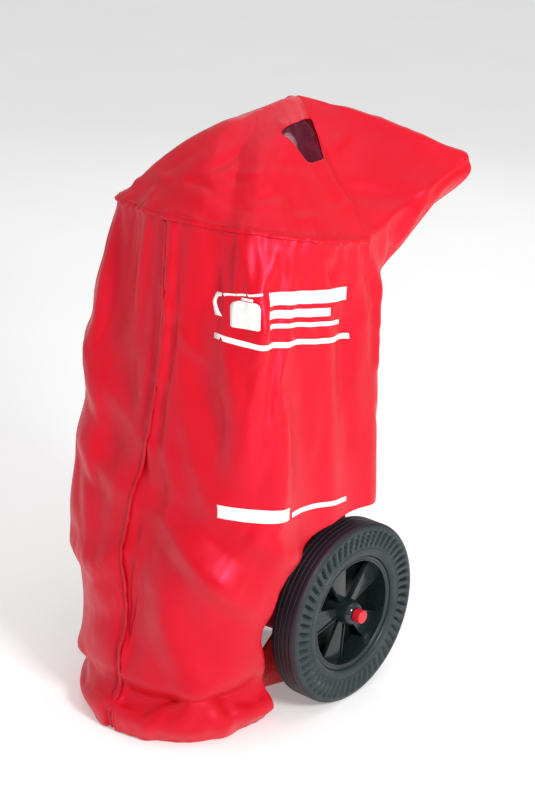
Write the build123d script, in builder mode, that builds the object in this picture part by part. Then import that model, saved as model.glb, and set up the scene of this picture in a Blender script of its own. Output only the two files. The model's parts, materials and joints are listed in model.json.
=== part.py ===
"""A wheeled dry-powder fire extinguisher that leans back on its two-wheeled trolley under a loose dust cover.

Row frame: millimetres, +Z up, +X to the right-hand wheel, +Y from the front foot back to the axle.
The origin is on the floor, at the centre of the front foot's sole.
The cylinder's own leaning frame is (x, v, u): u up its axis, v towards the axle, u = 0 level with the axle.
"""

import os
from math import cos, radians, sin

from build123d import *

# Stance
wheelbase = 268.0  # front foot to axle, along the floor
lean_angle = 13.0  # how far the cylinder leans back
axle_offset = 150.0  # cylinder's axis to the axle

# Wheels
wheel_radius = 150.0
tyre_width = 50.0
tyre_corner = 7.0
bead_height = 8.0  # slope from the rim's edge out to the tyre's side
rim_radius = 95.0
rim_width = 40.0
rim_wall = 9.0
tread_grooves = 4
tread_groove_depth = 2.0
tread_groove_width = 2.4
track = 390.0  # between the wheels' middles
axle_radius = 8.0
bush_radius = 12.0
hub_radius = 21.0
hub_inner_reach = 32.0  # hub, from the wheel's middle towards the frame
hub_outer_reach = 27.0
web_thickness = 6.0
web_count = 5
web_width_at_hub = 14.0
web_width_at_rim = 50.0
web_sink = 4.0  # how far the webs run into the hub
web_turn = 15.0  # the first web, forward of straight up
rim_back_thickness = 2.0  # thin wall that closes the rim towards the frame
running_clearance = 0.05

# Cylinder
cylinder_radius = 125.0
cylinder_wall = 3.0
cylinder_low = -70.0  # u of the straight wall's lower end
cylinder_high = 560.0
bottom_dome = 50.0
top_dome = 60.0
skirt_low = -125.0
skirt_wall = 3.0
neck_radius = 32.0
neck_bore = 20.0
neck_top = 636.0
powder_level = 430.0
siphon_radius = 8.0
siphon_wall = 1.5
siphon_low = -85.0

# Valve, lever and gauge
valve_base = 600.0  # u of the threaded spigot's lower end
valve_top = 720.0
valve_radius = 19.0
valve_chamfer = 2.0
boss_wall = 3.0  # gauge boss, round its port
boss_reach = 6.0  # gauge boss, beyond the valve's side
seal_size = 2.0
seal_depth = 6.0  # below the neck's top
collar_radius = 27.0
collar_height = 12.0
chamber_low = 642.0
chamber_high = 686.0
chamber_radius = 10.0
flow_bore = 6.0
stem_radius = 5.0
stem_flange_radius = 9.0
stem_flange_height = 5.0
spring_radius = 7.4
spring_wire = 0.6
spring_turns = 6
spring_end_gap = 0.4
ear_gap = 18.0
ear_thickness = 4.0
ear_height = 27.0
ear_front_v = -21.0
ear_back_v = 6.0
ear_corner = 5.0
ear_root = 4.0  # how far the ears run down into the valve's top
pivot_v = -15.0
pivot_height = 18.0  # lever's pin, above the valve's top
pin_radius = 3.0
pin_overhang = 2.0
lever_lift = 10.0  # lever's underside, above the valve's top
stem_gap = 0.5
stem_low = 656.0
lever_thickness = 5.0
lever_width = 28.0
lever_tip_v = 92.0
lever_tip_rise = 38.0
lever_slope_start = 10.0
lever_slope_rise = 4.0
lever_knee = 24.0  # length of the flatter end of the lever
lever_knee_drop = 6.0
lever_heel_height = 16.0
lever_side_gap = 0.3
carry_drop = 16.0
carry_tip_v = 105.0
carry_tip_rise = 10.0
lock_pin_radius = 1.75
lock_pin_v = -1.0
lock_pin_rise = 1.0  # above the lever's pin
lock_pin_tail = 3.0  # beyond the far ear
lock_pin_neck = 5.0  # between the near ear and the ring
lock_slot_length = 5.6  # the lever's slot round the lock pin
lock_slot_height = 7.4
lock_slot_shift = 0.5
lock_slot_rise = 1.5
lock_ring_radius = 9.0
lock_ring_wire = 1.2
gauge_height = 690.0  # u where the gauge's port leaves the valve's axis
gauge_tilt = 25.0
gauge_reach = 58.0
gauge_radius = 17.0
gauge_depth = 14.0
gauge_port_radius = 6.0
gauge_wall = 2.0
gauge_back = 3.0
dial_thickness = 1.0
dial_post_radius = 1.0
dial_post_height = 4.0
needle_lift = 3.0  # above the case's floor
needle_hub_radius = 2.6
needle_width = 1.6
needle_thickness = 0.8
needle_taper = 88.0
lens_thickness = 2.0
lens_inset = 0.5
outlet_height = 668.0
outlet_reach = 46.0
outlet_radius = 14.0
outlet_bore = 9.0
outlet_bore_depth = 18.0
outlet_floor = 8.0  # solid metal behind the outlet's bore
relief_height = 672.0
relief_boss_radius = 7.0
relief_boss_reach = 3.0
relief_hex_radius = 8.0
relief_hex_height = 6.0
relief_cap_radius = 5.0
relief_cap_height = 8.0

# Trolley
tube_radius = 12.5
tube_wall = 2.0
tube_spacing = 224.0  # between the two frame tubes' axes
tube_bend_height = 578.0
tube_bend_radius = 80.0
handle_back = 268.0  # handlebar behind the axle
handle_height = 812.0
handle_length = 380.0
bar_radius = 14.0
end_cap_length = 6.0
end_cap_lip = 2.0
end_cap_fillet = 3.0
grip_wall = 3.0
grip_gap = 2.0
bracket_size = 40.0
bracket_corner = 4.0
bracket_margin = 1.0  # beyond the tube, towards the middle
plate_thickness = 5.0
plate_half = 22.0  # of the side plate's square end, round the axle
plate_toe_v = -45.0
plate_heel_v = 112.0
plate_toe_depth = 10.0  # below the tray
plate_toe_height = 22.0
plate_waist_v = 20.0
plate_waist_height = 36.0
plate_clearance = 1.0
tray_thickness = 4.0
tray_depth = 212.0
tray_corner = 6.0
tray_flange_depth = 188.0  # the part of the tray that reaches both side plates
tray_hole_radius = 9.0
tray_hole_spacing = 110.0
crossbar_heights = (120.0, 450.0)
crossbar_depth = 12.0
crossbar_height = 30.0
strap_wall = 3.0
strap_flange = 28.0
strap_inset = 3.0
strap_bolt_radius = 4.0
bolt_head_radius = 7.0
bolt_head_height = 4.0
nut_height = 5.0
nut_radius = 6.5
bolt_overhang = 1.0
foot_leg_radius = 10.0
foot_leg_reach = 120.0  # before the tray trims it
foot_leg_spacing = 104.0
foot_pad_height = 12.0
foot_pad_depth = 44.0
foot_pad_length = 138.0
foot_pad_corner = 8.0
hub_gap = 0.6
washer_thickness = 2.0
washer_inset = 4.0  # washer's edge, in from the hub's
axle_stub = 9.0  # beyond the retaining clip
axle_chamfer = 1.0
clip_thickness = 2.0
cap_radius = 11.0
cap_length = 14.0
cap_wall = 1.5
cap_fillet = 3.0

# Cover: rounded rectangles, each (height above the floor, half width, front, back, corner), from the axle
cover_wall = 1.5
cover_levels = (
    (12.0, 150.0, -322.0, 85.0, 60.0),
    (137.0, 188.0, -308.0, 90.0, 60.0),
    (300.0, 203.0, -276.0, 95.0, 70.0),
    (410.0, 208.0, -243.0, 101.0, 80.0),
    (500.0, 205.0, -228.0, 110.0, 90.0),
    (614.0, 190.0, -214.0, 138.0, 70.0),
    (690.0, 182.0, -207.0, 156.0, 70.0),
)
ring_height = 600.0  # u of the top panel's seam
ring_radius = 183.0
crown_height = 930.0
crown_low_x, crown_high_x = -24.0, 62.0
crown_front, crown_back = -16.0, 130.0
# The pocket over the handle, in upright sections behind the axle: (back, half width, low, high)
pocket_sections = (
    (20.0, 120.0, 705.0, 862.0),
    (120.0, 178.0, 672.0, 872.0),
    (288.0, 205.0, 786.0, 836.0),
)
pocket_corner = 20.0
crown_corner = 30.0
arch_half_width = 160.0
arch_front = -158.0
arch_top = 308.0
arch_slope = 70.0  # along and, less the rise, up the front of each arch
arch_slope_rise = 90.0
window_width, window_height = 50.0, 62.0
window_corner = 14.0
window_centre = (88.0, 40.0, 885.0)  # x, behind the axle, height
window_facing = (0.72, -0.30, 0.62)
window_reach = 45.0  # of the cutting prism, each side of the film

os.makedirs("parts", exist_ok=True)

lean_sin = sin(radians(lean_angle))
lean_cos = cos(radians(lean_angle))
axle_y = wheelbase
axle_z = wheel_radius
lean = Plane(
    origin=(0, axle_y - axle_offset * lean_cos, axle_z + axle_offset * lean_sin),
    x_dir=(1, 0, 0),
    z_dir=(0, lean_sin, lean_cos),
)
cylinder_axis = Axis(lean.origin, lean.z_dir)
big = 2000.0


def across(u, x=0.0, v=0.0):
    """Plane square to the cylinder's axis at height u."""
    return Plane(lean.from_local_coords((x, v, u)), x_dir=(1, 0, 0), z_dir=lean.z_dir)


def lengthways(v=0.0, u=0.0):
    """Plane along the cylinder's axis that faces the front: its x is X and its y is u."""
    return Plane(lean.from_local_coords((0, v, u)), x_dir=(1, 0, 0), z_dir=-lean.y_dir)


def beside(x, v=0.0, u=0.0):
    """Leaning plane that faces +X: its x is v and its y is u."""
    return Plane(lean.from_local_coords((x, v, u)), x_dir=lean.y_dir, z_dir=(1, 0, 0))


def upright(x, y=0.0, z=0.0):
    """Upright plane that faces +X: its x is Y and its y is Z."""
    return Plane((x, y, z), x_dir=(0, 1, 0), z_dir=(1, 0, 0))


def wheel_plane(sign, reach=0.0):
    """Plane of a wheel, facing outwards, at a distance outwards from the wheel's middle."""
    return Plane((sign * (track / 2 + reach), axle_y, axle_z), x_dir=(0, 0, 1), z_dir=(sign, 0, 0))


def save(name, piece):
    piece.part.label = name
    export_step(piece.part, f"parts/{name}.step")


# Cylinder --------------------------------------------------------------------------------
def vessel_profile(inset):
    """Half section of the domed vessel, moved in by a wall."""
    radius = cylinder_radius - inset
    with BuildLine() as outline:
        Line((0, cylinder_low - bottom_dome + inset), (0, cylinder_high + top_dome - inset))
        EllipticalCenterArc((0, cylinder_high), radius, top_dome - inset, start_angle=0, arc_size=90)
        Line((radius, cylinder_high), (radius, cylinder_low))
        EllipticalCenterArc((0, cylinder_low), radius, bottom_dome - inset, start_angle=270, arc_size=90)
    return outline.line


with BuildPart() as vessel_outer:
    with BuildSketch(lengthways()):
        with BuildLine():
            add(vessel_profile(0.0))
        make_face()
    revolve(axis=cylinder_axis)

with BuildPart() as vessel_inner:
    with BuildSketch(lengthways()):
        with BuildLine():
            add(vessel_profile(cylinder_wall))
        make_face()
    revolve(axis=cylinder_axis)

with BuildPart() as cylinder_shell:
    add(vessel_outer.part)
    add(vessel_inner.part, mode=Mode.SUBTRACT)
    with BuildSketch(across(cylinder_high)):
        Circle(neck_bore)
    extrude(amount=top_dome + cylinder_wall, mode=Mode.SUBTRACT)
save("cylinder_shell", cylinder_shell)

with BuildPart() as cylinder_skirt:
    with BuildSketch(across(skirt_low)):
        Circle(cylinder_radius - skirt_wall)
        Circle(cylinder_radius - 2 * skirt_wall, mode=Mode.SUBTRACT)
    extrude(amount=cylinder_low - skirt_low)
    add(vessel_outer.part, mode=Mode.SUBTRACT)
save("cylinder_skirt", cylinder_skirt)

with BuildPart() as neck_ring:
    with BuildSketch(across(cylinder_high)):
        Circle(neck_radius)
        Circle(neck_bore, mode=Mode.SUBTRACT)
    extrude(amount=neck_top - cylinder_high)
    add(vessel_outer.part, mode=Mode.SUBTRACT)
save("neck_ring", neck_ring)

with BuildPart() as siphon_tube:
    with BuildSketch(across(siphon_low)):
        Circle(siphon_radius)
        Circle(siphon_radius - siphon_wall, mode=Mode.SUBTRACT)
    extrude(amount=valve_base - siphon_low)
save("siphon_tube", siphon_tube)

with BuildPart() as powder_charge:
    add(vessel_inner.part)
    with BuildSketch(across(powder_level)):
        Circle(cylinder_radius)
    extrude(amount=cylinder_high + top_dome - powder_level, mode=Mode.SUBTRACT)
    with BuildSketch(across(cylinder_low - bottom_dome)):
        Circle(siphon_radius)
    extrude(amount=powder_level - cylinder_low + bottom_dome, mode=Mode.SUBTRACT)
save("powder_charge", powder_charge)

# Valve --------------------------------------------------------------------------------
lever_low = valve_top + lever_lift
pivot_u = valve_top + pivot_height
lock_pin_u = pivot_u + lock_pin_rise
ears_half = ear_gap / 2 + ear_thickness
gauge_port = Plane(
    across(gauge_height).origin,
    x_dir=lean.y_dir,
    z_dir=Vector(1, 0, 0) * cos(radians(gauge_tilt)) + lean.z_dir * sin(radians(gauge_tilt)),
)
outlet_plane = Plane(across(outlet_height).origin, x_dir=lean.y_dir, z_dir=(-1, 0, 0))
relief_plane = Plane(across(relief_height).origin, x_dir=(1, 0, 0), z_dir=-lean.y_dir)

with BuildPart() as valve_seal:
    with BuildSketch(across(neck_top - seal_depth)):
        Circle(neck_bore)
        Circle(neck_bore - seal_size, mode=Mode.SUBTRACT)
    extrude(amount=seal_size)
save("valve_seal", valve_seal)

with BuildPart() as valve_body:
    with BuildSketch(across(valve_base)):
        Circle(neck_bore)
    extrude(amount=neck_top - valve_base)
    with BuildSketch(across(neck_top)):
        RegularPolygon(collar_radius, 6, major_radius=False)
    extrude(amount=collar_height)
    with BuildSketch(across(neck_top + collar_height)):
        Circle(valve_radius)
    extrude(amount=valve_top - neck_top - collar_height)
    chamfer(faces().sort_by(cylinder_axis)[-1].edges(), valve_chamfer)
    with BuildSketch(gauge_port):
        Circle(gauge_port_radius + boss_wall)
    extrude(amount=valve_radius + boss_reach)
    with BuildSketch(outlet_plane):
        Circle(outlet_radius)
    extrude(amount=outlet_reach - outlet_bore_depth - outlet_floor)
    with BuildSketch(relief_plane):
        Circle(relief_boss_radius)
    extrude(amount=valve_radius + relief_boss_reach)
    with BuildSketch(beside(-ears_half)):
        with Locations(((ear_front_v + ear_back_v) / 2, valve_top - ear_root / 2 + ear_height / 2)):
            RectangleRounded(ear_back_v - ear_front_v, ear_height + ear_root, ear_corner)
    extrude(amount=2 * ears_half)
    with BuildSketch(beside(-ear_gap / 2)):
        with Locations((0, valve_top + ear_height)):
            Rectangle(4 * valve_radius, 2 * ear_height)
    extrude(amount=ear_gap, mode=Mode.SUBTRACT)
    with BuildSketch(across(valve_base)):
        Circle(flow_bore)
    extrude(amount=chamber_low - valve_base, mode=Mode.SUBTRACT)
    with BuildSketch(across(chamber_low)):
        Circle(chamber_radius)
    extrude(amount=chamber_high - chamber_low, mode=Mode.SUBTRACT)
    with BuildSketch(across(chamber_high)):
        Circle(stem_radius + running_clearance)
    extrude(amount=valve_top - chamber_high, mode=Mode.SUBTRACT)
    with BuildSketch(beside(-ear_gap)):
        with Locations((pivot_v, pivot_u)):
            Circle(pin_radius)
    extrude(amount=2 * ear_gap, mode=Mode.SUBTRACT)
    with BuildSketch(beside(-ear_gap)):
        with Locations((lock_pin_v, lock_pin_u)):
            Circle(lock_pin_radius + running_clearance)
    extrude(amount=2 * ear_gap, mode=Mode.SUBTRACT)
    add(valve_seal.part, mode=Mode.SUBTRACT)
save("valve_body", valve_body)

dome_height = lever_low - stem_gap - stem_radius
with BuildPart() as valve_stem:
    with BuildSketch(across(stem_low)):
        Circle(stem_radius)
    extrude(amount=dome_height - stem_low)
    with BuildSketch(across(chamber_high - stem_flange_height)):
        Circle(stem_flange_radius)
    extrude(amount=stem_flange_height)
    with Locations(across(dome_height)):
        Sphere(stem_radius)
save("valve_stem", valve_stem)

spring_room = chamber_high - stem_flange_height - chamber_low - 2 * (spring_wire + spring_end_gap)
spring_start = across(chamber_low + spring_wire + spring_end_gap).origin
with BuildPart() as valve_spring:
    with BuildLine():
        coil = Helix(
            spring_room / spring_turns, spring_room, spring_radius, center=spring_start, direction=lean.z_dir
        )
    with BuildSketch(Plane(coil @ 0, z_dir=coil % 0)):
        Circle(spring_wire)
    sweep(path=coil, is_frenet=True)
save("valve_spring", valve_spring)

with BuildPart() as carry_handle:
    with BuildSketch(beside(-lever_width / 2)):
        with BuildLine():
            carry_u = valve_top - carry_drop
            Polyline(
                (valve_radius - 1, carry_u),
                (carry_tip_v, carry_u + carry_tip_rise),
                (carry_tip_v, carry_u + carry_tip_rise + lever_thickness),
                (valve_radius - 1, carry_u + lever_thickness),
                close=True,
            )
        make_face()
    extrude(amount=lever_width)
    with BuildSketch(across(chamber_low)):
        Circle(valve_radius)
    extrude(amount=valve_top - chamber_low, mode=Mode.SUBTRACT)
save("carry_handle", carry_handle)

heel = ear_gap / 2 - lever_side_gap
lever_tip_u = lever_low + lever_tip_rise
heel_front_v = pivot_v - 2 * pin_radius
knee_v, knee_u = lever_tip_v - lever_knee, lever_tip_u - lever_knee_drop
slope_u = lever_low + lever_slope_rise
with BuildPart() as operating_lever:
    with BuildSketch(beside(-heel)):
        with Locations(((heel_front_v + lever_slope_start) / 2, lever_low + lever_heel_height / 2)):
            Rectangle(lever_slope_start - heel_front_v, lever_heel_height)
    extrude(amount=2 * heel)
    with BuildSketch(beside(-lever_width / 2)):
        with BuildLine():
            Polyline(
                (lever_slope_start, slope_u),
                (knee_v, knee_u),
                (lever_tip_v, lever_tip_u),
                (lever_tip_v, lever_tip_u + lever_thickness),
                (knee_v, knee_u + lever_thickness),
                (lever_slope_start, slope_u + 2 * lever_thickness),
                close=True,
            )
        make_face()
    extrude(amount=lever_width)
    with BuildSketch(beside(-heel)):
        with Locations((pivot_v, pivot_u)):
            Circle(pin_radius + running_clearance)
        with Locations((lock_pin_v - lock_slot_shift, lock_pin_u + lock_slot_rise)):
            Rectangle(lock_slot_length, lock_slot_height)
    extrude(amount=2 * heel, mode=Mode.SUBTRACT)
save("operating_lever", operating_lever)

with BuildPart() as lever_pin:
    with BuildSketch(beside(-ears_half - pin_overhang)):
        with Locations((pivot_v, pivot_u)):
            Circle(pin_radius)
    extrude(amount=2 * (ears_half + pin_overhang))
save("lever_pin", lever_pin)

with BuildPart() as safety_pin:
    with BuildSketch(beside(-ears_half - lock_pin_tail)):
        with Locations((lock_pin_v, lock_pin_u)):
            Circle(lock_pin_radius)
    extrude(amount=2 * ears_half + lock_pin_tail + lock_pin_neck)
    with Locations(across(lock_pin_u, x=ears_half + lock_pin_neck + lock_ring_radius, v=lock_pin_v)):
        Torus(lock_ring_radius, lock_ring_wire)
save("safety_pin", safety_pin)

# Pressure gauge --------------------------------------------------------------------------------
gauge_floor = gauge_reach + gauge_back
gauge_inside = gauge_radius - gauge_wall
with BuildPart() as gauge_case:
    with BuildSketch(gauge_port.offset(valve_radius + boss_reach)):
        Circle(gauge_port_radius)
    extrude(amount=gauge_reach - valve_radius - boss_reach)
    with BuildSketch(gauge_port.offset(gauge_reach)):
        Circle(gauge_radius)
    extrude(amount=gauge_depth)
    with BuildSketch(gauge_port.offset(gauge_floor)):
        Circle(gauge_inside)
    extrude(amount=gauge_depth, mode=Mode.SUBTRACT)
save("gauge_case", gauge_case)

with BuildPart() as gauge_dial:
    with BuildSketch(gauge_port.offset(gauge_floor)):
        Circle(gauge_inside)
    extrude(amount=dial_thickness)
    with BuildSketch(gauge_port.offset(gauge_floor + dial_thickness)):
        Circle(dial_post_radius)
    extrude(amount=dial_post_height)
save("gauge_dial", gauge_dial)

needle_length = gauge_inside - gauge_wall
with BuildPart() as gauge_needle:
    with BuildSketch(gauge_port.offset(gauge_floor + needle_lift)):
        Circle(needle_hub_radius)
        with Locations((0, needle_length / 2)):
            Trapezoid(needle_width, needle_length, needle_taper)
        Circle(dial_post_radius + running_clearance, mode=Mode.SUBTRACT)
    extrude(amount=needle_thickness)
save("gauge_needle", gauge_needle)

with BuildPart() as gauge_lens:
    with BuildSketch(gauge_port.offset(gauge_reach + gauge_depth - lens_inset - lens_thickness)):
        Circle(gauge_inside)
    extrude(amount=lens_thickness)
save("gauge_lens", gauge_lens)

with BuildPart() as hose_outlet:
    with BuildSketch(outlet_plane.offset(outlet_reach - outlet_bore_depth - outlet_floor)):
        RegularPolygon(outlet_radius, 6, major_radius=False)
    extrude(amount=outlet_bore_depth + outlet_floor)
    with BuildSketch(outlet_plane.offset(outlet_reach)):
        Circle(outlet_bore)
    extrude(amount=-outlet_bore_depth, mode=Mode.SUBTRACT)
save("hose_outlet", hose_outlet)

relief_start = valve_radius + relief_boss_reach
with BuildPart() as relief_valve:
    with BuildSketch(relief_plane.offset(relief_start)):
        RegularPolygon(relief_hex_radius, 6, major_radius=False)
    extrude(amount=relief_hex_height)
    with BuildSketch(relief_plane.offset(relief_start + relief_hex_height)):
        Circle(relief_cap_radius)
    extrude(amount=relief_cap_height)
    chamfer(faces().sort_by(Axis(relief_plane.origin, relief_plane.z_dir))[-1].edges(), 1)
save("relief_valve", relief_valve)

# Trolley frame --------------------------------------------------------------------------------
handle_y = axle_y + handle_back
tube_foot = lean.from_local_coords((0, axle_offset, bracket_size / 2))
tube_bend = lean.from_local_coords((0, axle_offset, tube_bend_height))
plate_inner = cylinder_radius + plate_clearance
tray_low = skirt_low - tray_thickness
plate_low = tray_low - plate_toe_depth

for side, sign in (("left", -1), ("right", 1)):
    tube_x = sign * tube_spacing / 2
    with BuildPart() as frame_tube:
        with BuildLine(upright(tube_x)) as route:
            FilletPolyline(
                (tube_foot.Y, tube_foot.Z),
                (tube_bend.Y, tube_bend.Z),
                (handle_y, handle_height),
                radius=tube_bend_radius,
            )
        with BuildSketch(across(bracket_size / 2, x=tube_x, v=axle_offset)):
            Circle(tube_radius)
            Circle(tube_radius - tube_wall, mode=Mode.SUBTRACT)
        sweep(path=route.line)
        with BuildSketch(upright(tube_x - 2 * tube_radius)):
            with Locations((handle_y, handle_height)):
                Circle(bar_radius)
        extrude(amount=4 * tube_radius, mode=Mode.SUBTRACT)
    save(f"frame_tube_{side}", frame_tube)

    with BuildPart() as axle_bracket:
        bracket_inner = tube_spacing / 2 - tube_radius - bracket_margin
        start = bracket_inner if sign > 0 else -plate_inner
        with BuildSketch(beside(start)):
            with Locations((axle_offset, 0)):
                RectangleRounded(bracket_size, bracket_size, bracket_corner)
                Circle(axle_radius, mode=Mode.SUBTRACT)
        extrude(amount=plate_inner - bracket_inner)
    save(f"axle_bracket_{side}", axle_bracket)

    with BuildPart() as side_plate:
        start = plate_inner if sign > 0 else -plate_inner - plate_thickness
        with BuildSketch(beside(start)):
            with BuildLine():
                Polyline(
                    (axle_offset - plate_half, plate_half),
                    (axle_offset + plate_half, plate_half),
                    (axle_offset + plate_half, -plate_half),
                    (plate_heel_v, plate_low),
                    (plate_toe_v, plate_low),
                    (plate_toe_v, plate_low + plate_toe_height),
                    (plate_waist_v, plate_low + plate_waist_height),
                    close=True,
                )
            make_face()
            with Locations((axle_offset, 0)):
                Circle(axle_radius, mode=Mode.SUBTRACT)
        extrude(amount=plate_thickness)
    save(f"side_plate_{side}", side_plate)

    with BuildPart() as bar_end_cap:
        with BuildSketch(upright(sign * handle_length / 2)):
            with Locations((handle_y, handle_height)):
                Circle(bar_radius + end_cap_lip)
        extrude(amount=sign * end_cap_length)
        fillet(faces().sort_by(Axis.X)[-1 if sign > 0 else 0].edges(), end_cap_fillet)
    save(f"bar_end_cap_{side}", bar_end_cap)

    with BuildPart() as grip:
        grip_start = tube_spacing / 2 + tube_radius + grip_gap
        with BuildSketch(upright(sign * grip_start)):
            with Locations((handle_y, handle_height)):
                Circle(bar_radius + grip_wall)
                Circle(bar_radius, mode=Mode.SUBTRACT)
        extrude(amount=sign * (handle_length / 2 - grip_start))
    save(f"grip_{side}", grip)

with BuildPart() as handle_bar:
    with BuildSketch(upright(-handle_length / 2)):
        with Locations((handle_y, handle_height)):
            Circle(bar_radius)
            Circle(bar_radius - tube_wall, mode=Mode.SUBTRACT)
    extrude(amount=handle_length)
save("handle_bar", handle_bar)

with BuildPart() as base_tray:
    with BuildSketch(across(tray_low)):
        RectangleRounded(2 * plate_inner, tray_depth, tray_corner)
        Rectangle(2 * plate_inner, tray_flange_depth)
        with GridLocations(tray_hole_spacing, tray_hole_spacing, 2, 2):
            Circle(tray_hole_radius, mode=Mode.SUBTRACT)
    extrude(amount=tray_thickness)
save("base_tray", base_tray)

strap_radius = cylinder_radius + strap_wall
bar_back = axle_offset - tube_radius
bar_front = bar_back - crossbar_depth
bar_half = strap_radius + strap_flange
bolt_x = strap_radius + strap_flange / 2
for label, height in zip(("lower", "upper"), crossbar_heights):
    with BuildPart() as crossbar:
        with BuildSketch(across(height - crossbar_height / 2)):
            with Locations((0, (bar_front + bar_back) / 2)):
                Rectangle(2 * bar_half, crossbar_depth)
        extrude(amount=crossbar_height)
        with BuildSketch(lengthways(v=bar_front, u=height)):
            with Locations((-bolt_x, 0), (bolt_x, 0)):
                Circle(strap_bolt_radius)
        extrude(amount=-crossbar_depth, mode=Mode.SUBTRACT)
    save(f"crossbar_{label}", crossbar)

    with BuildPart() as clamp_strap:
        with BuildSketch(across(height - crossbar_height / 2 + strap_inset)):
            Circle(strap_radius)
            with Locations((0, bar_front / 2)):
                Rectangle(2 * strap_radius, bar_front)
            with Locations((0, bar_front - strap_wall / 2)):
                Rectangle(2 * bar_half, strap_wall)
            Circle(cylinder_radius, mode=Mode.SUBTRACT)
            with Locations((0, bar_front)):
                Rectangle(2 * cylinder_radius, 2 * bar_front, mode=Mode.SUBTRACT)
        extrude(amount=crossbar_height - 2 * strap_inset)
        with BuildSketch(lengthways(v=bar_front, u=height)):
            with Locations((-bolt_x, 0), (bolt_x, 0)):
                Circle(strap_bolt_radius)
        extrude(amount=strap_wall, mode=Mode.SUBTRACT)
    save(f"clamp_strap_{label}", clamp_strap)

strap_front = bar_front - strap_wall
with BuildPart() as strap_bolts:
    for height in crossbar_heights:
        for x in (-bolt_x, bolt_x):
            with BuildSketch(lengthways(v=strap_front, u=height)):
                with Locations((x, 0)):
                    Circle(bolt_head_radius)
            extrude(amount=bolt_head_height)
            with BuildSketch(lengthways(v=strap_front, u=height)):
                with Locations((x, 0)):
                    Circle(strap_bolt_radius)
            extrude(amount=-strap_wall - crossbar_depth - nut_height - bolt_overhang)
save("strap_bolts", strap_bolts)

with BuildPart() as strap_nuts:
    for height in crossbar_heights:
        for x in (-bolt_x, bolt_x):
            with BuildSketch(lengthways(v=bar_back, u=height)):
                with Locations((x, 0)):
                    RegularPolygon(nut_radius, 6, major_radius=False)
                    Circle(strap_bolt_radius, mode=Mode.SUBTRACT)
            extrude(amount=-nut_height)
save("strap_nuts", strap_nuts)

# Front foot --------------------------------------------------------------------------------
with BuildPart() as foot_frame:
    with BuildSketch(Plane.XY.offset(foot_pad_height + foot_leg_radius)):
        with Locations((-foot_leg_spacing / 2, 0), (foot_leg_spacing / 2, 0)):
            Circle(foot_leg_radius)
    extrude(amount=foot_leg_reach)
    with BuildSketch(upright(-foot_pad_length / 2, 0, foot_pad_height + foot_leg_radius)):
        Circle(foot_leg_radius)
    extrude(amount=foot_pad_length)
    with BuildSketch(across(tray_low)):
        Rectangle(big, big)
    extrude(amount=big, mode=Mode.SUBTRACT)
save("foot_frame", foot_frame)

with BuildPart() as foot_pad:
    with BuildSketch(Plane.XY):
        RectangleRounded(foot_pad_length, foot_pad_depth, foot_pad_corner)
    extrude(amount=foot_pad_height + foot_leg_radius)
    with BuildSketch(upright(-foot_pad_length / 2, 0, foot_pad_height + foot_leg_radius)):
        Circle(foot_leg_radius)
    extrude(amount=foot_pad_length, mode=Mode.SUBTRACT)
save("foot_pad", foot_pad)

# Axle and wheels --------------------------------------------------------------------------------
plate_outer = plate_inner + plate_thickness
hub_inner = track / 2 - hub_inner_reach
hub_outer = track / 2 + hub_outer_reach
axle_half = hub_outer + clip_thickness + axle_stub
with BuildPart() as axle:
    with BuildSketch(upright(-axle_half, axle_y, axle_z)):
        Circle(axle_radius)
    extrude(amount=2 * axle_half)
    chamfer(faces().sort_by(Axis.X)[-1].edges(), axle_chamfer)
    chamfer(faces().sort_by(Axis.X)[0].edges(), axle_chamfer)
save("axle", axle)

washer_start = hub_inner - hub_gap - washer_thickness
with BuildPart() as axle_spacers:
    for start in (plate_outer, -washer_start):
        with BuildSketch(upright(start, axle_y, axle_z)):
            Circle(bush_radius)
            Circle(axle_radius, mode=Mode.SUBTRACT)
        extrude(amount=washer_start - plate_outer)
save("axle_spacers", axle_spacers)

with BuildPart() as axle_washers:
    for start in (washer_start, -washer_start - washer_thickness):
        with BuildSketch(upright(start, axle_y, axle_z)):
            Circle(hub_radius - washer_inset)
            Circle(axle_radius, mode=Mode.SUBTRACT)
        extrude(amount=washer_thickness)
save("axle_washers", axle_washers)

with BuildPart() as retaining_clips:
    for start in (hub_outer + hub_gap, -hub_outer - hub_gap - clip_thickness):
        with BuildSketch(upright(start, axle_y, axle_z)):
            Circle(cap_radius - cap_wall)
            Circle(axle_radius, mode=Mode.SUBTRACT)
        extrude(amount=clip_thickness)
save("retaining_clips", retaining_clips)

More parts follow.
